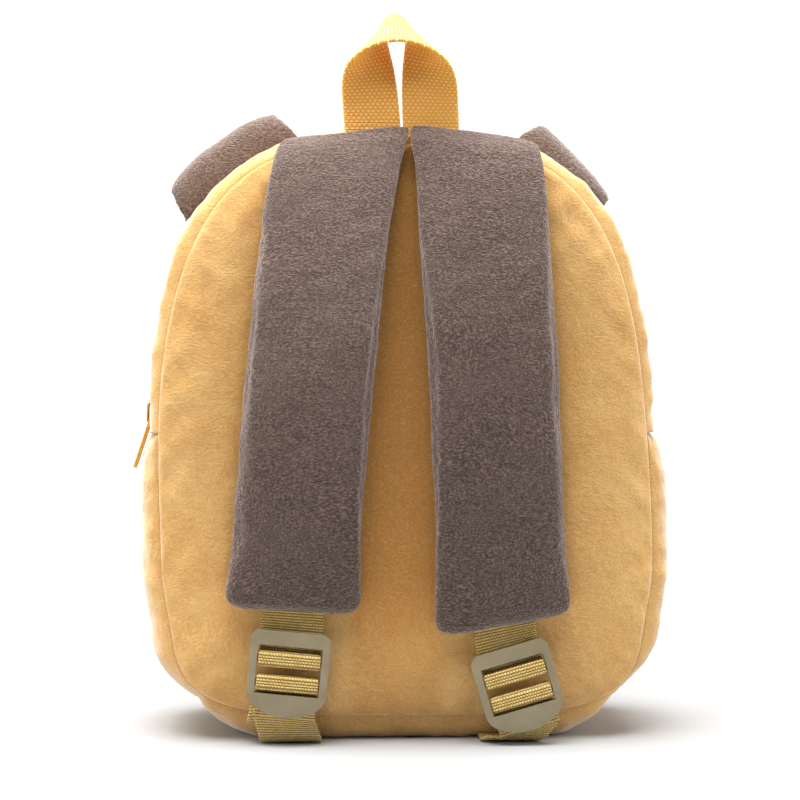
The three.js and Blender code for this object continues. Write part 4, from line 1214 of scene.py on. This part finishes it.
TIGHT = WEB_CLEAR + WEB_THICKNESS / 2
NEAR_LAYER = BUCKLE_DEPTH * 0.4 + TIGHT
FAR_LAYER = NEAR_LAYER + WEB_THICKNESS + WEB_CLEAR
LAYER_MIDDLE = (NEAR_LAYER + FAR_LAYER) / 2
OVER_BAR = 1.1 + TIGHT
BESIDE_BAR = 1.5 + TIGHT
UPPER_BAR = 4.2
LOWER_BAR = -5.4
WINDOW_TOP = 9.8
BUCKLE_TOP = WINDOW_TOP + 5.8
BUCKLE_FOOT = -WINDOW_TOP - 9.2


def buckle_axes(side):
    """A buckle's window middle, and its directions across, towards the bag and up."""
    b = BUCKLES[side]
    tilt = math.radians(b["turn"])
    depth = SECTIONS[side]["centre"][-1, 1] - LAYER_MIDDLE
    wide = np.array([math.cos(tilt), 0, -math.sin(tilt)])
    upward = np.array([math.sin(tilt), 0, math.cos(tilt)])
    return np.array([b["x"], depth, b["up"]]), wide, upward


def strap_webs(side):
    """The two webbings at a buckle, threaded as the frame has them."""
    centre, wide, upward = buckle_axes(side)
    s = SECTIONS[side]
    inward = np.array([0, 1.0, 0])

    def place(deep, high, bend=TIGHT):
        return centre + inward * deep + upward * high, wide, bend

    end_wide = s["wide"][-1]
    end_at = s["centre"][-1] + np.cross(end_wide, s["away"][-1]) * SEAM_GAP

    def sewn(deep):
        return end_at + inward * (deep - LAYER_MIDDLE), end_wide, TIGHT

    route = rounded_route(
        [
            sewn(NEAR_LAYER),
            place(NEAR_LAYER, BUCKLE_TOP),
            place(NEAR_LAYER, UPPER_BAR + BESIDE_BAR),
            place(-OVER_BAR, UPPER_BAR + BESIDE_BAR),
            place(-OVER_BAR, UPPER_BAR - BESIDE_BAR),
            place(FAR_LAYER, UPPER_BAR - BESIDE_BAR),
            place(FAR_LAYER, BUCKLE_TOP),
            sewn(FAR_LAYER),
        ]
    )
    ribbon(f"pad_web_{side}", f"pad_webbing_{side}", route)
    b = BUCKLES[side]
    level = np.array([1.0, 0, 0])
    seam_depth = -(HALF_DEPTH + SEAM_GAP / 2 + WEB_CLEAR + WEB_THICKNESS / 2)
    tail_up = 0.4 + WEB_THICKNESS / 2
    tail_depth = centre[1] + NEAR_LAYER + 4.5
    route = rounded_route(
        [
            (np.array([b["anchor"], seam_depth, BOTTOM - WEB_THICKNESS]), level, TIGHT),
            (np.array([b["anchor"], centre[1] + FAR_LAYER + 1, BOTTOM]), level, 3),
            place(FAR_LAYER, LOWER_BAR - BESIDE_BAR),
            place(FAR_LAYER, LOWER_BAR + BESIDE_BAR),
            place(-OVER_BAR, LOWER_BAR + BESIDE_BAR),
            place(-OVER_BAR, LOWER_BAR - BESIDE_BAR),
            place(NEAR_LAYER, LOWER_BAR - BESIDE_BAR),
            place(NEAR_LAYER, BUCKLE_FOOT),
            (np.array([b["tail"], tail_depth, tail_up]), level, 5),
            (np.array([b["tail"], tail_depth + 12, tail_up]), level, TIGHT),
        ]
    )
    ribbon(f"base_web_{side}", f"base_webbing_{side}", route)


# far_up, far_out, far_deep, near_up, near_out and near_deep of each station up one leg
LOOP_STATIONS = np.array(
    [
        (0, 0, 0, 0, 1, 0),
        (0.28, 0.015, 0.02, 0.36, 1.01, -0.05),
        (0.52, 0.085, 0.08, 0.62, 0.96, -0.22),
        (0.7, 0.155, 0.16, 0.79, 0.84, -0.4),
        (0.86, 0.195, 0.23, 0.9, 0.64, -0.53),
        (0.96, 0.14, 0.28, 0.97, 0.34, -0.58),
        (1, 0, 0.29, 1, 0, -0.58),
    ]
)


def grab_loop():
    """The grab loop: a curve through each edge's stations, with the webbing stretched between
    them, so that its far edge makes a narrow peak and its near edge a wide arch."""
    far_up, far_out, far_deep, near_up, near_out, near_deep = LOOP_STATIONS.T

    def edge(out, deep, up):
        leg = np.stack([-(0.35 + out * LOOP_WIDTH), LOOP_WIDTH * deep, up], -1)
        whole = np.vstack([leg, (leg * [-1, 1, 1])[-2::-1]])
        whole[:, 0] += LOOP_LEAN * whole[:, 2] / LOOP_RISE
        return whole + [SWAY, -(HALF_DEPTH + 1.1), TOP + SEAM_GAP]

    t = np.linspace(0, 1, 141)
    a = through(edge(far_out, far_deep, far_up * LOOP_RISE), t)
    b = through(edge(near_out, near_deep, near_up * LOOP_NEAR_RISE), t)
    middle, wide = (a + b) / 2, unit(b - a)
    along = unit(np.gradient(a, axis=0) + np.gradient(b, axis=0))
    rings = flat_web(middle, wide, along, LOOP_WIDTH, LOOP_THICKNESS, np.ones(len(middle)))
    add_web("grab_loop_web", "grab_loop", rings, length_along(middle), LOOP_WIDTH, LOOP_CLOTH)


# Studio


def add_light(name, place, size, power):
    """A soft square lamp that faces the bag's middle."""
    lamp = bpy.data.lights.new(name, "AREA")
    lamp.size = size
    lamp.energy = power
    holder = in_scene(name, lamp)
    holder.location = place
    x, y, z = np.array([0, 0, 0.12]) - place
    holder.rotation_euler = (math.atan2(math.hypot(x, y), -z), 0, math.atan2(-x, y))


def make_floor():
    """Pale paper just under the bag that fades out with distance, so that no horizon shows."""
    corners = np.array([(-4, -4, -0.0002), (4, -4, -0.0002), (4, 4, -0.0002), (-4, 4, -0.0002)])
    floor = in_scene("floor", mesh_of("floor", corners / MM, [(0, 1, 2, 3)]))
    material, tree, shader = new_material("floor_paper")
    set_shader(tree, shader, Base_Color=linear("#b2b2b2"), Roughness=0.9, Specular_IOR_Level=0.1)
    place = tree.nodes.new("ShaderNodeTexCoord").outputs["Object"]
    off = add_node(tree, "VectorMath", {0: place, 1: (1, 1, 0)}, operation="MULTIPLY")
    add_node(tree, "VectorMath", {0: off}, operation="LENGTH")
    far = spread(tree, tree.nodes[-1].outputs["Value"], 0.22, 0.75)
    clear = add_node(tree, "BsdfTransparent")
    faded = add_node(tree, "MixShader", {0: far, 1: shader.outputs[0], 2: clear})
    tree.links.new(faded, tree.nodes["Material Output"].inputs["Surface"])
    floor.data.materials.append(material)


def make_surroundings():
    """White surroundings, dim on the eye's side so that the straps stand out, bright beyond the bag."""
    world = bpy.data.worlds.new("surroundings")
    world.use_nodes = True
    bpy.context.scene.world = world
    tree = world.node_tree
    way = tree.nodes.new("ShaderNodeTexCoord").outputs["Generated"]
    split = tree.nodes.new("ShaderNodeSeparateXYZ")
    tree.links.new(way, split.inputs[0])
    ends = {"From Min": -0.4, "From Max": 0.9, "To Min": 0.09, "To Max": 1.1}
    depth = add_node(tree, "MapRange", {"Value": split.outputs[1], **ends})
    background = tree.nodes["Background"]
    background.inputs["Color"].default_value = (1, 1, 1, 1)
    tree.links.new(depth, background.inputs["Strength"])


def make_camera():
    """The eye that the photograph was taken from: 1.1 m off, 3 degrees up and 2.5 degrees to the left."""
    lens = bpy.data.cameras.new("eye")
    lens.lens = 123.75
    lens.sensor_width = 36
    lens.dof.use_dof = False
    camera = in_scene("eye", lens)
    azimuth, elevation, distance = math.radians(2.5), math.radians(3), 1.1
    level = math.cos(elevation)
    way = np.array([math.sin(azimuth) * level, math.cos(azimuth) * level, -math.sin(elevation)])
    camera.location = np.array([-3.7, -50, 138.5]) * MM - way * distance
    camera.rotation_euler = (math.pi / 2 - elevation, 0, -azimuth)
    bpy.context.scene.camera = camera


make_camera()
make_stuffed_pieces()
plush_panel("back_panel", -1, BACK_CROWN, 600, 76, 50)
plush_panel("front_panel", 1, FRONT_CROWN, 420, 56, 55)
plush_lower_band()
for turned in (-1, 1):
    plush_arch_strip(turned)
    zip_tape(turned)
zip_coil()
bevelled("zip_slider_cast", "zip_slider", ENAMEL, "bag", 0.25)
bevelled("zip_puller_cast", "zip_puller", ENAMEL, "puller", 0.3)
for side in PADS:
    strap_webs(side)
    bevelled(f"buckle_{side}_moulded", f"buckle_{side}", PLASTIC, "bag", 0.7)
grab_loop()
make_floor()
make_surroundings()
add_light("above", (-0.13, -0.13, 1.25), 1.3, 54)
for name, x in (("left", -1.15), ("right", 1.15)):
    add_light(name, (x, -0.25, 0.45), 0.8, 6)
scene = bpy.context.scene
scene.view_settings.view_transform = "Standard"
scene.view_settings.look = "None"
scene.view_settings.exposure = 0
